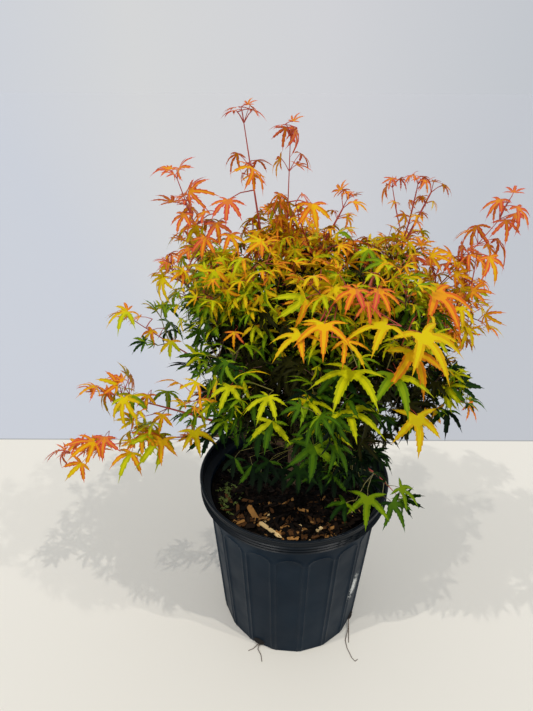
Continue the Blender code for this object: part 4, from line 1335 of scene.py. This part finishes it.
# Scale and depth of the relief in the bark.
BARK_RELIEF = ((420, 0.00035), (130, 0.0005))
BARK_STRETCH = 0.35
BARK_FROM = TRUNK_FOOT.z + 0.001


def build_leaves(group, leaves, blades, materials):
    shapes = [blades[leaf.shape] for leaf in leaves]
    points, faces = merged((placed(blade, leaf), blade.faces) for blade, leaf in zip(shapes, leaves))
    parts = []
    for blade, leaf in zip(shapes, leaves):
        tints = {step: tint_index(leaf.tint, step) for step in LOBE_STEPS}
        parts += [2 * tints[step] + part for step, part in blade.parts]
    mesh = mesh_from(f"leaves_{group}", points, faces, parts, materials)
    slot, nodes = GROUPS[group]
    return shown(mesh, slot, *nodes)


def stalk(leaf):
    """The arching stalk from the twig to the blade."""
    # Stalks of the leaves with the painted shade tint are brown and darker, as part of that painted
    # shade.
    kind = BROWN if leaf.tint == SHADE_TINT else (RED if leaf.tint > RED_STALK else GREEN)
    return Shoot(arched(leaf.root, leaf.neck, STALK_ARCH), STALK_RADII, kind)


def build_foliage(limbs):
    space, crowd = Space(limbs), Crowd()
    blades = {
        (kind, i): Blade(form, f"{kind} {i}")
        for kind, form in FORMS.items()
        for i in range(BLADES_OF_A_KIND)
    }
    leaf_looks, twig_looks = leaf_materials(), twig_materials()
    growths = {name: Growth(limb, space, crowd) for name, limb in limbs.items()}
    for group, (_, names) in GROUPS.items():
        grown = [growths[name] for name in names]
        for one in grown:
            one.grow()
        leaves = [leaf for one in grown for leaf in one.leaves]
        shoots = [shoot for one in grown for shoot in one.shoots]
        shoots += [stalk(leaf) for leaf in leaves]
        build_leaves(group, leaves, blades, leaf_looks)
        shown(tubes(f"twigs_{group}", shoots, twig_looks), "bark", *names)


def build_limbs(limbs):
    """The trunk and the boughs, in rough bark."""
    ts = [(i / TRUNK_STEPS) ** TRUNK_CROWDING for i in range(TRUNK_STEPS + 1)]
    runs = [Shoot([trunk_point(t) for t in ts], [trunk_radius(t) for t in ts], 0)]
    for limb in limbs.values():
        steps = max(FEWEST_STEPS, round(limb.length * limb.mass.share / BOUGH_STEP))
        runs.append(limb.run(samples(0, limb.mass.share, steps), 0))
    mesh = tubes("trunk_and_boughs", runs, [bark_material()], BARK_RESOLUTION)
    for vertex in mesh.vertices:
        place = Vector((vertex.co.x, vertex.co.y, vertex.co.z * BARK_STRETCH))
        relief = sum(noise.noise(place * scale) * depth for scale, depth in BARK_RELIEF)
        if vertex.co.z > BARK_FROM:
            vertex.co += vertex.normal * relief
    nodes = ["trunk"] + [f"bough_{mass.name}" for mass in MASSES]
    return shown(mesh, "bark", *nodes)


# ---------------------------------------------------------------- pot
PANELS = 18
PANEL_PITCH = FULL_TURN / PANELS
PANEL_AZIMUTH = math.radians(-90 - 24.5)
PANEL_TOP = 0.2085
PANEL_HALF = 0.0176
PANEL_ROUND = 0.75
PANEL_FOOT = 0.006
RIB = 0.0012
RECESS = 0.0006
FLATTEN = 0.0009
FLATTEN_FADE = 0.03
RIB_WIDTH = 0.0011
# Where points stand across half a panel, as shares of it, close together at the rib.
PANEL_SHARES = (-0.5, -0.47, -0.44, -0.41, -0.37, -0.30, -0.2, -0.1, 0.0)
# Heights of the rings at the foot, up the sides and through the arches of the panels.
ARCH_START = PANEL_TOP - PANEL_ROUND * PANEL_HALF
FOOT_HEIGHTS = [0.0, 0.0012, 0.004, 0.008, 0.014]
SIDE_HEIGHTS = [0.02 + 0.015 * i for i in range(12) if 0.02 + 0.015 * i < ARCH_START - 0.004]
ARCH_HEIGHTS = [ARCH_START - 0.002 + 0.0008 * i for i in range(22)]
TOP_HEIGHTS = [0.2200, POT_HEIGHT - LIP_HEIGHT - 0.0030]
FOOT_CHAMFER = 0.002

LIP_BAND = LIP_RADIUS - 0.002
LIP_RIDGES = 3
RIDGE = 0.0016
RIDGE_HEIGHT = 0.0018
RIDGE_STEP = 0.0042
# The rim's lower edge, out from its band and up, and where its ridges and its roll begin.
LIP_EDGE = ((-0.0085, -0.0012), (-0.001, 0), (0, 0.0008))
RIDGES_START = 0.0020
ROLL_START = ((0, -0.0062), (0.0014, -0.0052))
ROLL_TURNS = [math.radians(-60 + 35 * k) for k in range(7)]
# Over this height the pot is as shiny as its rim.
RIM_START = POT_HEIGHT - LIP_HEIGHT - 0.001
DRAIN_DEPTH = 0.02
DRAIN_SIDES = 24
SHARP = math.radians(50)


def body_radius(z):
    body_top = POT_HEIGHT - LIP_HEIGHT
    return BASE_RADIUS + (BODY_TOP_RADIUS - BASE_RADIUS) * z / body_top


def panel_offset(angle, z):
    """How far the wall stands out of the plain cone: a rib round each sunk, arch-topped panel."""
    half_pitch = PANEL_PITCH / 2
    across = ((angle - PANEL_AZIMUTH + half_pitch) % PANEL_PITCH - half_pitch) * body_radius(z)
    half = PANEL_HALF * body_radius(z) / BODY_TOP_RADIUS
    rise = PANEL_ROUND * half
    above = z - (PANEL_TOP - rise)
    depth = half - abs(across)
    if above > 0:
        depth = (1 - math.hypot(across / half, above / rise)) * rise
    rib = math.exp(-((depth / RIB_WIDTH) ** 2))
    sunk = min(1.0, max(0.0, depth / (2 * RIB_WIDTH)))
    foot = min(1.0, z / PANEL_FOOT)
    flat = FLATTEN * max(0.0, 1 - (across / half) ** 2)
    fade = min(1.0, max(0.0, (PANEL_TOP - z) / FLATTEN_FADE))
    return (RIB * rib - RECESS * sunk) * foot - flat * fade


def lip_profile():
    """Outer side of the rolled rim, from the body's top up: groove, fine ridges, roll."""
    low, high = POT_HEIGHT - LIP_HEIGHT, POT_HEIGHT
    rows = [(LIP_BAND + out, low + up) for out, up in LIP_EDGE]
    z = low + RIDGES_START
    for _ in range(LIP_RIDGES):
        rows += [(LIP_BAND, z), (LIP_BAND + RIDGE, z + RIDGE_HEIGHT / 2), (LIP_BAND, z + RIDGE_HEIGHT)]
        z += RIDGE_STEP
    rows += [(LIP_BAND + out, high + up) for out, up in ROLL_START]
    roll = LIP_ROLL / 2
    for turn in ROLL_TURNS:
        rows.append((LIP_RADIUS - roll + roll * math.cos(turn), high - roll + roll * math.sin(turn)))
    return rows


def inside_profile():
    """Inner side of the pot, from the rim down to the floor."""
    return [
        (LIP_RADIUS - LIP_ROLL - 0.0004, POT_HEIGHT - 0.003),
        (LIP_BAND - WALL, POT_HEIGHT - LIP_HEIGHT + LIP_ROLL),
        (BODY_TOP_RADIUS - WALL, POT_HEIGHT - LIP_HEIGHT),
        (body_radius(0.12) - WALL, 0.12),
        (body_radius(FLOOR) - WALL, FLOOR),
    ]


def wall_rows(angles):
    """Radius and height of the outer wall's points: a row for each height, from the foot up."""
    heights = FOOT_HEIGHTS + SIDE_HEIGHTS + ARCH_HEIGHTS + TOP_HEIGHTS
    rows = [[(body_radius(z) + panel_offset(angle, z), z) for angle in angles] for z in heights]
    rows[0] = [(radius - FOOT_CHAMFER, z) for radius, z in rows[0]]
    return rows


def build_pot():
    """The pot's shell: panelled wall, rolled rim, inside and floor, with its drain holes cut."""
    shares = PANEL_SHARES + tuple(-share for share in PANEL_SHARES[-2:0:-1])
    angles = [PANEL_AZIMUTH + PANEL_PITCH * (i + s) for i in range(PANELS) for s in shares]
    rows = wall_rows(angles) + [[row] * len(angles) for row in lip_profile() + inside_profile()]
    bm = bmesh.new()
    rings = [
        [bm.verts.new((r * math.cos(a), r * math.sin(a), z)) for (r, z), a in zip(row, angles)]
        for row in rows
    ]
    skin(bm, rings)
    bm.faces.new(rings[0][::-1])
    bm.faces.new(rings[-1])
    bmesh.ops.recalc_face_normals(bm, faces=bm.faces)
    body = pot_material("pot_plastic", 0.07, 1.0, (0.36, 0.56))
    rim = pot_material("pot_rim", 0.15, 0.55, (0.26, 0.40))
    mesh = finished(bm, "pot_shell", body, rim)
    for face in mesh.polygons:
        face.material_index = int(face.center.z > RIM_START)
    pot = shown(mesh, "pot_plastic", "pot")
    for azimuth in drain_azimuths():
        cut_drain(pot, azimuth)
    pot.data.set_sharp_from_angle(angle=SHARP)
    return pot


def drain_azimuths():
    return [DRAIN_AZIMUTH + i * FULL_TURN / DRAIN_COUNT for i in range(DRAIN_COUNT)]


def cut_drain(pot, azimuth):
    bm = bmesh.new()
    turn = Matrix.Rotation(math.pi / 2, 4, "Y")
    size = {"radius1": DRAIN_WIDTH / 2, "radius2": DRAIN_WIDTH / 2, "depth": DRAIN_DEPTH}
    bmesh.ops.create_cone(bm, cap_ends=True, segments=DRAIN_SIDES, matrix=turn, **size)
    bmesh.ops.scale(bm, vec=(1, 1, 2 * DRAIN_HEIGHT / DRAIN_WIDTH), verts=bm.verts)
    cutter = linked("drain", finished(bm, "drain", smooth=False))
    place = Matrix.Translation((BASE_RADIUS * math.cos(azimuth), BASE_RADIUS * math.sin(azimuth), FLOOR))
    cutter.matrix_world = place @ Matrix.Rotation(azimuth, 4, "Z")
    hole = pot.modifiers.new("Drain", "BOOLEAN")
    hole.operation = "DIFFERENCE"
    hole.object = cutter
    cut = evaluated_mesh(pot)
    pot.modifiers.clear()
    pot.data = cut
    bpy.data.objects.remove(cutter, do_unlink=True)


# ---------------------------------------------------------------- soil and chips
SOIL_GAP = 0.0006
SOIL_WALL = BODY_TOP_RADIUS - WALL - 0.0012
SOIL_AROUND = 120
SOIL_RINGS = 46
# Scale and depth of the lumps, and the level of the noise they are read from.
SOIL_LUMPS = ((45, 0.0035), (140, 0.0022))
LUMPS_LEVEL = 0.4
SOIL_SINK = 0.001
SOIL_UNDERSIDE = FLOOR + 0.0003
# Between these radii the soil sinks towards the wall.
SOIL_EDGE = (0.09, 0.12)
EDGE_SINK = 0.003

CHIP_COUNT = 1700
CHIP_MARGIN = 0.008
CHIP_LENGTHS = (0.004, 0.024, 0.007)
CHIP_WIDTHS = (0.16, 0.42)
CHIP_THICKNESS = (0.0008, 0.0020)
TRUNK_ROOM = 0.019
# In front of this line pale chips are among the dark ones; behind it, under the crown, only dark tones
# are picked, as painted shade.
CHIP_SHADE_LINE = -0.030
CHIP_TONES = [(17, 13, 10), (38, 27, 19), (100, 66, 36), (182, 130, 70), (250, 214, 150)]
TONE_SHARES = (0.50, 0.80, 0.92, 0.985, 1.0)
# The three corners at each end of a chip, as shares of its length and of its width.
CHIP_CORNERS = (((0.32, 0.40), (-0.36, -0.5)), ((0.42, 0.5), (-0.15, 0.2)), ((0.30, 0.42), (0.36, 0.5)))
# The underside of a chip, as shares of its length, width and thickness.
CHIP_UNDER = (0.95, 0.92, -0.5)
CHIP_LIFT = 0.8
CHIP_BEND = 0.25
CHIP_RISES = (0.35, 0.6)
CHIP_SWAYS = (0.4, 0.5)
CHIP_FACES = [(0, 1, 2, 3, 4, 5), (11, 10, 9, 8, 7, 6)]
CHIP_FACES += [(i, i + 6, (i + 1) % 6 + 6, (i + 1) % 6) for i in range(6)]

Chip = namedtuple("Chip", "x y turn length width thick sway tone")

# Larger chips that lie on top: x, y, turn in degrees, length, width, tone.
BIG_CHIPS = [
    (-0.0333, -0.0879, -40, 0.040, 0.0062, 4),
    (-0.0560, -0.0600, -63, 0.034, 0.0100, 3),
    (-0.0765, -0.0540, -86, 0.034, 0.0055, 2),
    (-0.0900, -0.0330, -55, 0.022, 0.0050, 2),
    (-0.0640, -0.0350, -10, 0.020, 0.0050, 2),
    (0.0110, -0.0540, -15, 0.017, 0.0055, 3),
    (0.0105, -0.0940, 80, 0.017, 0.0100, 2),
    (0.0300, -0.0870, 45, 0.013, 0.0060, 4),
    (0.0475, -0.0820, 30, 0.010, 0.0050, 3),
    (0.0440, -0.0960, 20, 0.020, 0.0050, 3),
    (-0.0040, -0.1010, 5, 0.018, 0.0060, 3),
    (0.0210, -0.0730, -60, 0.018, 0.0045, 2),
    (-0.0100, -0.0700, 65, 0.020, 0.0045, 2),
    (-0.0300, -0.0700, 20, 0.016, 0.0050, 3),
]
BIG_CHIP_SWAY = (0.08, 0.05)


def soil_height(x, y):
    place = Vector((x, y, LUMPS_LEVEL))
    lumps = sum(noise.noise(place * scale) * depth for scale, depth in SOIL_LUMPS)
    start, end = SOIL_EDGE
    edge = min(1.0, max(0.0, (math.hypot(x, y) - start) / (end - start)))
    return SOIL_TOP - SOIL_SINK + lumps - EDGE_SINK * edge


def ring_of(bm, radius, height):
    """A closed ring of points round the pot's axis, each as high as height(x, y) says."""
    turns = [FULL_TURN * i / SOIL_AROUND for i in range(SOIL_AROUND)]
    places = [(radius * math.cos(turn), radius * math.sin(turn)) for turn in turns]
    return [bm.verts.new((x, y, height(x, y))) for x, y in places]


def build_soil():
    """The bed of fine mulch: a lumpy top, and a plain body down to the pot's floor."""
    bm = bmesh.new()
    wide = body_radius(SOIL_TOP) - WALL - SOIL_GAP
    low = body_radius(FLOOR) - WALL - SOIL_GAP
    centre = bm.verts.new((0, 0, soil_height(0, 0)))
    rings = [ring_of(bm, wide * k / SOIL_RINGS, soil_height) for k in range(1, SOIL_RINGS + 1)]
    rings.append(ring_of(bm, low, lambda x, y: SOIL_UNDERSIDE))
    for i in range(SOIL_AROUND):
        bm.faces.new((centre, rings[0][i], rings[0][(i + 1) % SOIL_AROUND]))
    skin(bm, rings)
    bm.faces.new(rings[-1][::-1])
    bmesh.ops.recalc_face_normals(bm, faces=bm.faces)
    return shown(finished(bm, "soil_bed", soil_material()), "bark_mulch", "soil")


def chip_points(rng, length, width, thick):
    """A flake of bark: six corners above and six below, its ends torn to a slant."""
    ends = [
        (sign * length * rng.uniform(*along), sign * width * rng.uniform(*across))
        for sign in (-1, 1)
        for along, across in CHIP_CORNERS
    ]
    bend = rng.uniform(-CHIP_BEND, CHIP_BEND) * thick
    top = [(x, y, thick * rng.uniform(*CHIP_RISES) + bend * abs(x) / length) for x, y in ends]
    low = [(x * CHIP_UNDER[0], y * CHIP_UNDER[1], thick * CHIP_UNDER[2]) for x, y in ends]
    return [Vector(p) for p in top + low]


def laid(chip, rng):
    """The chip's points where it lies on the soil, turned and swayed."""
    height = soil_height(chip.x, chip.y) + chip.thick * CHIP_LIFT
    place = Matrix.Translation((chip.x, chip.y, height))
    place = place @ Matrix.Rotation(chip.turn, 4, "Z") @ Matrix.Rotation(chip.sway[0], 4, "Y")
    place = place @ Matrix.Rotation(chip.sway[1], 4, "X")
    return [place @ p for p in chip_points(rng, chip.length, chip.width, chip.thick)]


def strewn_chips(rng):
    for _ in range(CHIP_COUNT):
        radius = (SOIL_WALL - CHIP_MARGIN) * math.sqrt(rng.random())
        around = rng.uniform(0, FULL_TURN)
        x, y = radius * math.cos(around), radius * math.sin(around)
        if math.hypot(x - TRUNK_FOOT.x, y - TRUNK_FOOT.y) < TRUNK_ROOM:
            continue
        # Behind the line only the darker tones are picked: painted shade under the crown.
        pick = rng.random() * (1 if y < CHIP_SHADE_LINE else TONE_SHARES[1])
        tone = next(i for i, share in enumerate(TONE_SHARES) if pick <= share)
        length = rng.triangular(*CHIP_LENGTHS)
        sway = [rng.uniform(-most, most) for most in CHIP_SWAYS]
        width = length * rng.uniform(*CHIP_WIDTHS)
        turn = rng.uniform(0, math.pi)
        yield Chip(x, y, turn, length, width, rng.uniform(*CHIP_THICKNESS), sway, tone)


def big_chips():
    for x, y, turn, length, width, tone in BIG_CHIPS:
        yield Chip(x, y, math.radians(turn), length, width, CHIP_THICKNESS[1], BIG_CHIP_SWAY, tone)


def build_chips():
    rng = random.Random(SEED)
    pieces, parts = [], []
    for chip in chain(strewn_chips(rng), big_chips()):
        pieces.append((laid(chip, rng), CHIP_FACES))
        parts += [chip.tone] * len(CHIP_FACES)
    looks = [chip_material(f"chip_{i}", tone) for i, tone in enumerate(CHIP_TONES)]
    mesh = mesh_from("soil_chips", *merged(pieces), parts, looks)
    mesh.shade_flat()
    return shown(mesh, "bark_mulch", "soil")


WEED_COUNT = 46
WEED_MIDDLE = (-0.092, -0.022)
WEED_SPREAD = (0.010, 0.020)
WEED_MARGIN = 0.006
WEED_RISES = (0.2, 0.9)
WEED_LIFT = 0.001
WEED_STALK = 0.002
WEED_LENGTHS = (0.004, 0.008)
WEED_DROOP = 0.4


def weeds(rng):
    """Leaves of small weeds, sprouted between the chips near the rim on the left."""
    for _ in range(WEED_COUNT):
        x, y = (rng.gauss(middle, spread) for middle, spread in zip(WEED_MIDDLE, WEED_SPREAD))
        if math.hypot(x, y) > SOIL_WALL - WEED_MARGIN:
            continue
        way = heading(rng.uniform(0, FULL_TURN))
        forward = (way + UP * rng.uniform(*WEED_RISES)).normalized()
        side = forward.cross(UP).normalized()
        root = Vector((x, y, soil_height(x, y) + WEED_LIFT))
        neck = root + forward * WEED_STALK
        length = rng.uniform(*WEED_LENGTHS)
        yield Leaf(root, neck, forward, side.cross(forward), length, WEED_DROOP, 0, None)


def build_weeds():
    blade = Blade(FORMS["five"], "weed")
    leaves = weeds(random.Random(f"{SEED} weeds"))
    points, faces = merged((placed(blade, leaf), blade.faces) for leaf in leaves)
    look = principled("weed", (104, 122, 46), 0.7)
    return shown(mesh_from("soil_weeds", points, faces, [0] * len(faces), [look]), "bark_mulch", "soil")


# ---------------------------------------------------------------- drain holes
# Thin roots that come out of the two front drain holes and lie on the ground.
ROOT_PATHS = [
    [
        (-0.0470, -0.0935, 0.0050),
        (-0.0500, -0.1010, 0.0015),
        (-0.0455, -0.1090, 0.0008),
        (-0.0440, -0.1190, 0.0007),
    ],
    [(-0.0480, -0.0930, 0.0040), (-0.0570, -0.1000, 0.0010), (-0.0640, -0.1030, 0.0007)],
    [
        (0.0900, -0.0480, 0.0080),
        (0.0875, -0.0680, 0.0035),
        (0.0805, -0.0865, 0.0010),
        (0.0815, -0.0980, 0.0007),
        (0.0865, -0.1130, 0.0007),
        (0.0905, -0.1180, 0.0006),
        (0.0945, -0.1150, 0.0006),
    ],
    [(0.0900, -0.0490, 0.0060), (0.0875, -0.0730, 0.0010), (0.0850, -0.0900, 0.0007)],
]
ROOT_RADIUS = 0.0007
ROOT_END_RADIUS = 0.0005
DRAIN_SOIL_PLACE = (BASE_RADIUS - 0.0030, 0, 0.0068)
DRAIN_SOIL_HALF = (0.0055, 0.0095, 0.0066, 1)
DRAIN_SOIL_LUMPS = 0.012
DRAIN_SOIL_GRAIN = 600
DRAIN_SOIL_FOOT = 0.0012


def build_drain_roots():
    runs = []
    for path in ROOT_PATHS:
        radii = [ROOT_RADIUS] + [ROOT_END_RADIUS] * (len(path) - 1)
        runs.append(Shoot([Vector(p) for p in path], radii, 0))
    return shown(tubes("drain_roots", runs, [principled("root", (88, 68, 52), 0.8)]), "bark")


def build_drain_soil():
    """The dark fill that shows in each drain hole, and bulges from it a little."""
    bm = bmesh.new()
    for azimuth in drain_azimuths():
        place = Matrix.Rotation(azimuth, 4, "Z") @ Matrix.Translation(DRAIN_SOIL_PLACE)
        place = place @ Matrix.Diagonal(DRAIN_SOIL_HALF)
        made = bmesh.ops.create_icosphere(bm, subdivisions=4, radius=1, matrix=place)
        for vertex in made["verts"]:
            vertex.co *= 1 + DRAIN_SOIL_LUMPS * noise.noise(vertex.co * DRAIN_SOIL_GRAIN)
            vertex.co.z = max(DRAIN_SOIL_FOOT, vertex.co.z)
    look = principled("drain_soil", (20, 17, 15), 0.95)
    return shown(finished(bm, "drain_soil", look), "bark_mulch")


# ---------------------------------------------------------------- camera, light and ground
CAMERA_PLACE = Vector((-0.0389, -0.5602, 0.7281))
CAMERA_PITCH = math.radians(27.54)
CAMERA_ROLL = math.radians(0.20)
CAMERA_LENS = 25.57
CAMERA_SENSOR = 36
GROUND_HALF = 400
# Where the floor ends, and how sharply: the ramp's places are this many for each metre.
FLOOR_END = 0.405
FLOOR_END_SCALE = 12.5
FLOOR_STOPS = [(0.46, (230, 225, 214)), (0.50, (150, 151, 152))]
# The wall's tones from left to right, on the ground beyond the floor and above the horizon: painted
# light, brightest a little left of the middle, darkest at the right, and lighter above the horizon than
# on the ground.
WALL_PLACES = (0.04, 0.28, 0.60, 0.92)
WALL_LOW = [(198, 201, 208), (207, 206, 205), (203, 202, 204), (189, 191, 196)]
WALL_HIGH = [(205, 209, 217), (213, 214, 215), (209, 210, 214), (195, 199, 205)]
SKY_TONE = (225, 232, 242)
SKY_LIGHT = 0.66
LAMPS = [
    ("lamp_right", (0.44, -0.34, 1.0), 0.65),
    ("lamp_right_far", (0.72, -0.34, 1.0), 0.40),
    ("lamp_left", (-0.62, -0.32, 1.0), 0.60),
    ("lamp_left_near", (-0.28, -0.32, 1.0), 0.40),
]
LAMP_ANGLE = math.radians(0.6)
LAMP_COLOR = (1.0, 0.97, 0.92)


def build_camera():
    lens = bpy.data.cameras.new("camera")
    lens.lens = CAMERA_LENS
    lens.sensor_width = CAMERA_SENSOR
    lens.clip_start = 0.01
    camera = linked("camera", lens)
    turn = Matrix.Rotation(math.pi / 2 - CAMERA_PITCH, 4, "X") @ Matrix.Rotation(CAMERA_ROLL, 4, "Z")
    camera.matrix_world = Matrix.Translation(CAMERA_PLACE) @ turn
    bpy.context.scene.camera = camera


def across_wall(tree, way, tones):
    """The wall's tones from left to right, by which way it is from the pot: painted light, brightest a
    little left of the middle and darkest at the right.
    """
    bearing = worked_out(tree, "ShaderNodeVectorMath", "NORMALIZE", way).outputs["Vector"]
    aside = add_node(tree, "ShaderNodeSeparateXYZ", Vector=bearing).outputs["X"]
    place = worked_out(tree, "ShaderNodeMath", "ADD", aside, 0.5).outputs["Value"]
    return toned(tree, place, zip(WALL_PLACES, tones))


def ground_material():
    """The pale floor, and past its far edge the tones of the wall."""
    made = principled("ground", (226, 221, 212), 0.9)
    tree = made.node_tree
    place = tree.nodes.new("ShaderNodeTexCoord").outputs["Object"]
    depth = add_node(tree, "ShaderNodeSeparateXYZ", Vector=place).outputs["Y"]
    values = depth, FLOOR_END_SCALE, 0.5 - FLOOR_END_SCALE * FLOOR_END
    past = worked_out(tree, "ShaderNodeMath", "MULTIPLY_ADD", *values).outputs["Value"]
    beyond = ramp(tree, past, [(0.50, BLACK), (0.54, WHITE)])
    wall = across_wall(tree, place, WALL_LOW)
    shade(tree, "Base Color", mixed(tree, beyond, toned(tree, past, FLOOR_STOPS), wall))
    return made


def build_ground():
    bm = bmesh.new()
    bmesh.ops.create_grid(bm, x_segments=1, y_segments=1, size=GROUND_HALF)
    ground = linked("ground", finished(bm, "ground", ground_material(), smooth=False))
    ground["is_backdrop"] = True


def build_world():
    """Even light from above, and at the horizon the tone of the wall."""
    world = bpy.data.worlds.new("world")
    world.use_nodes = True
    tree = world.node_tree
    way = tree.nodes.new("ShaderNodeTexCoord").outputs["Generated"]
    height = add_node(tree, "ShaderNodeSeparateXYZ", Vector=way).outputs["Z"]
    above = ramp(tree, height, [(0.22, BLACK), (0.45, WHITE)])
    sky = (*(c * SKY_LIGHT for c in linear(SKY_TONE)[:3]), 1)
    color = mixed(tree, above, across_wall(tree, way, WALL_HIGH), sky)
    tree.links.new(color, tree.nodes["Background"].inputs["Color"])
    bpy.context.scene.world = world


def build_light():
    """Two pairs of lamps high on either side, which throw the leaves' soft shadows outward."""
    for name, toward, energy in LAMPS:
        sun = bpy.data.lights.new(name, "SUN")
        sun.energy = energy
        sun.angle = LAMP_ANGLE
        sun.color = LAMP_COLOR
        lamp = linked(name, sun)
        lamp.rotation_euler = Vector(toward).to_track_quat("Z", "Y").to_euler()
    bpy.context.scene.view_settings.view_transform = "Standard"


def write_sizes():
    boxes = [[list(corner) for corner in box] for box in (CAD_BOX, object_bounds())]


def main():
    limbs = all_limbs()
    build_camera()
    build_ground()
    build_world()
    build_light()
    build_pot()
    build_soil()
    build_chips()
    build_weeds()
    build_drain_roots()
    build_drain_soil()
    build_limbs(limbs)
    build_foliage(limbs)
    write_sizes()


main()
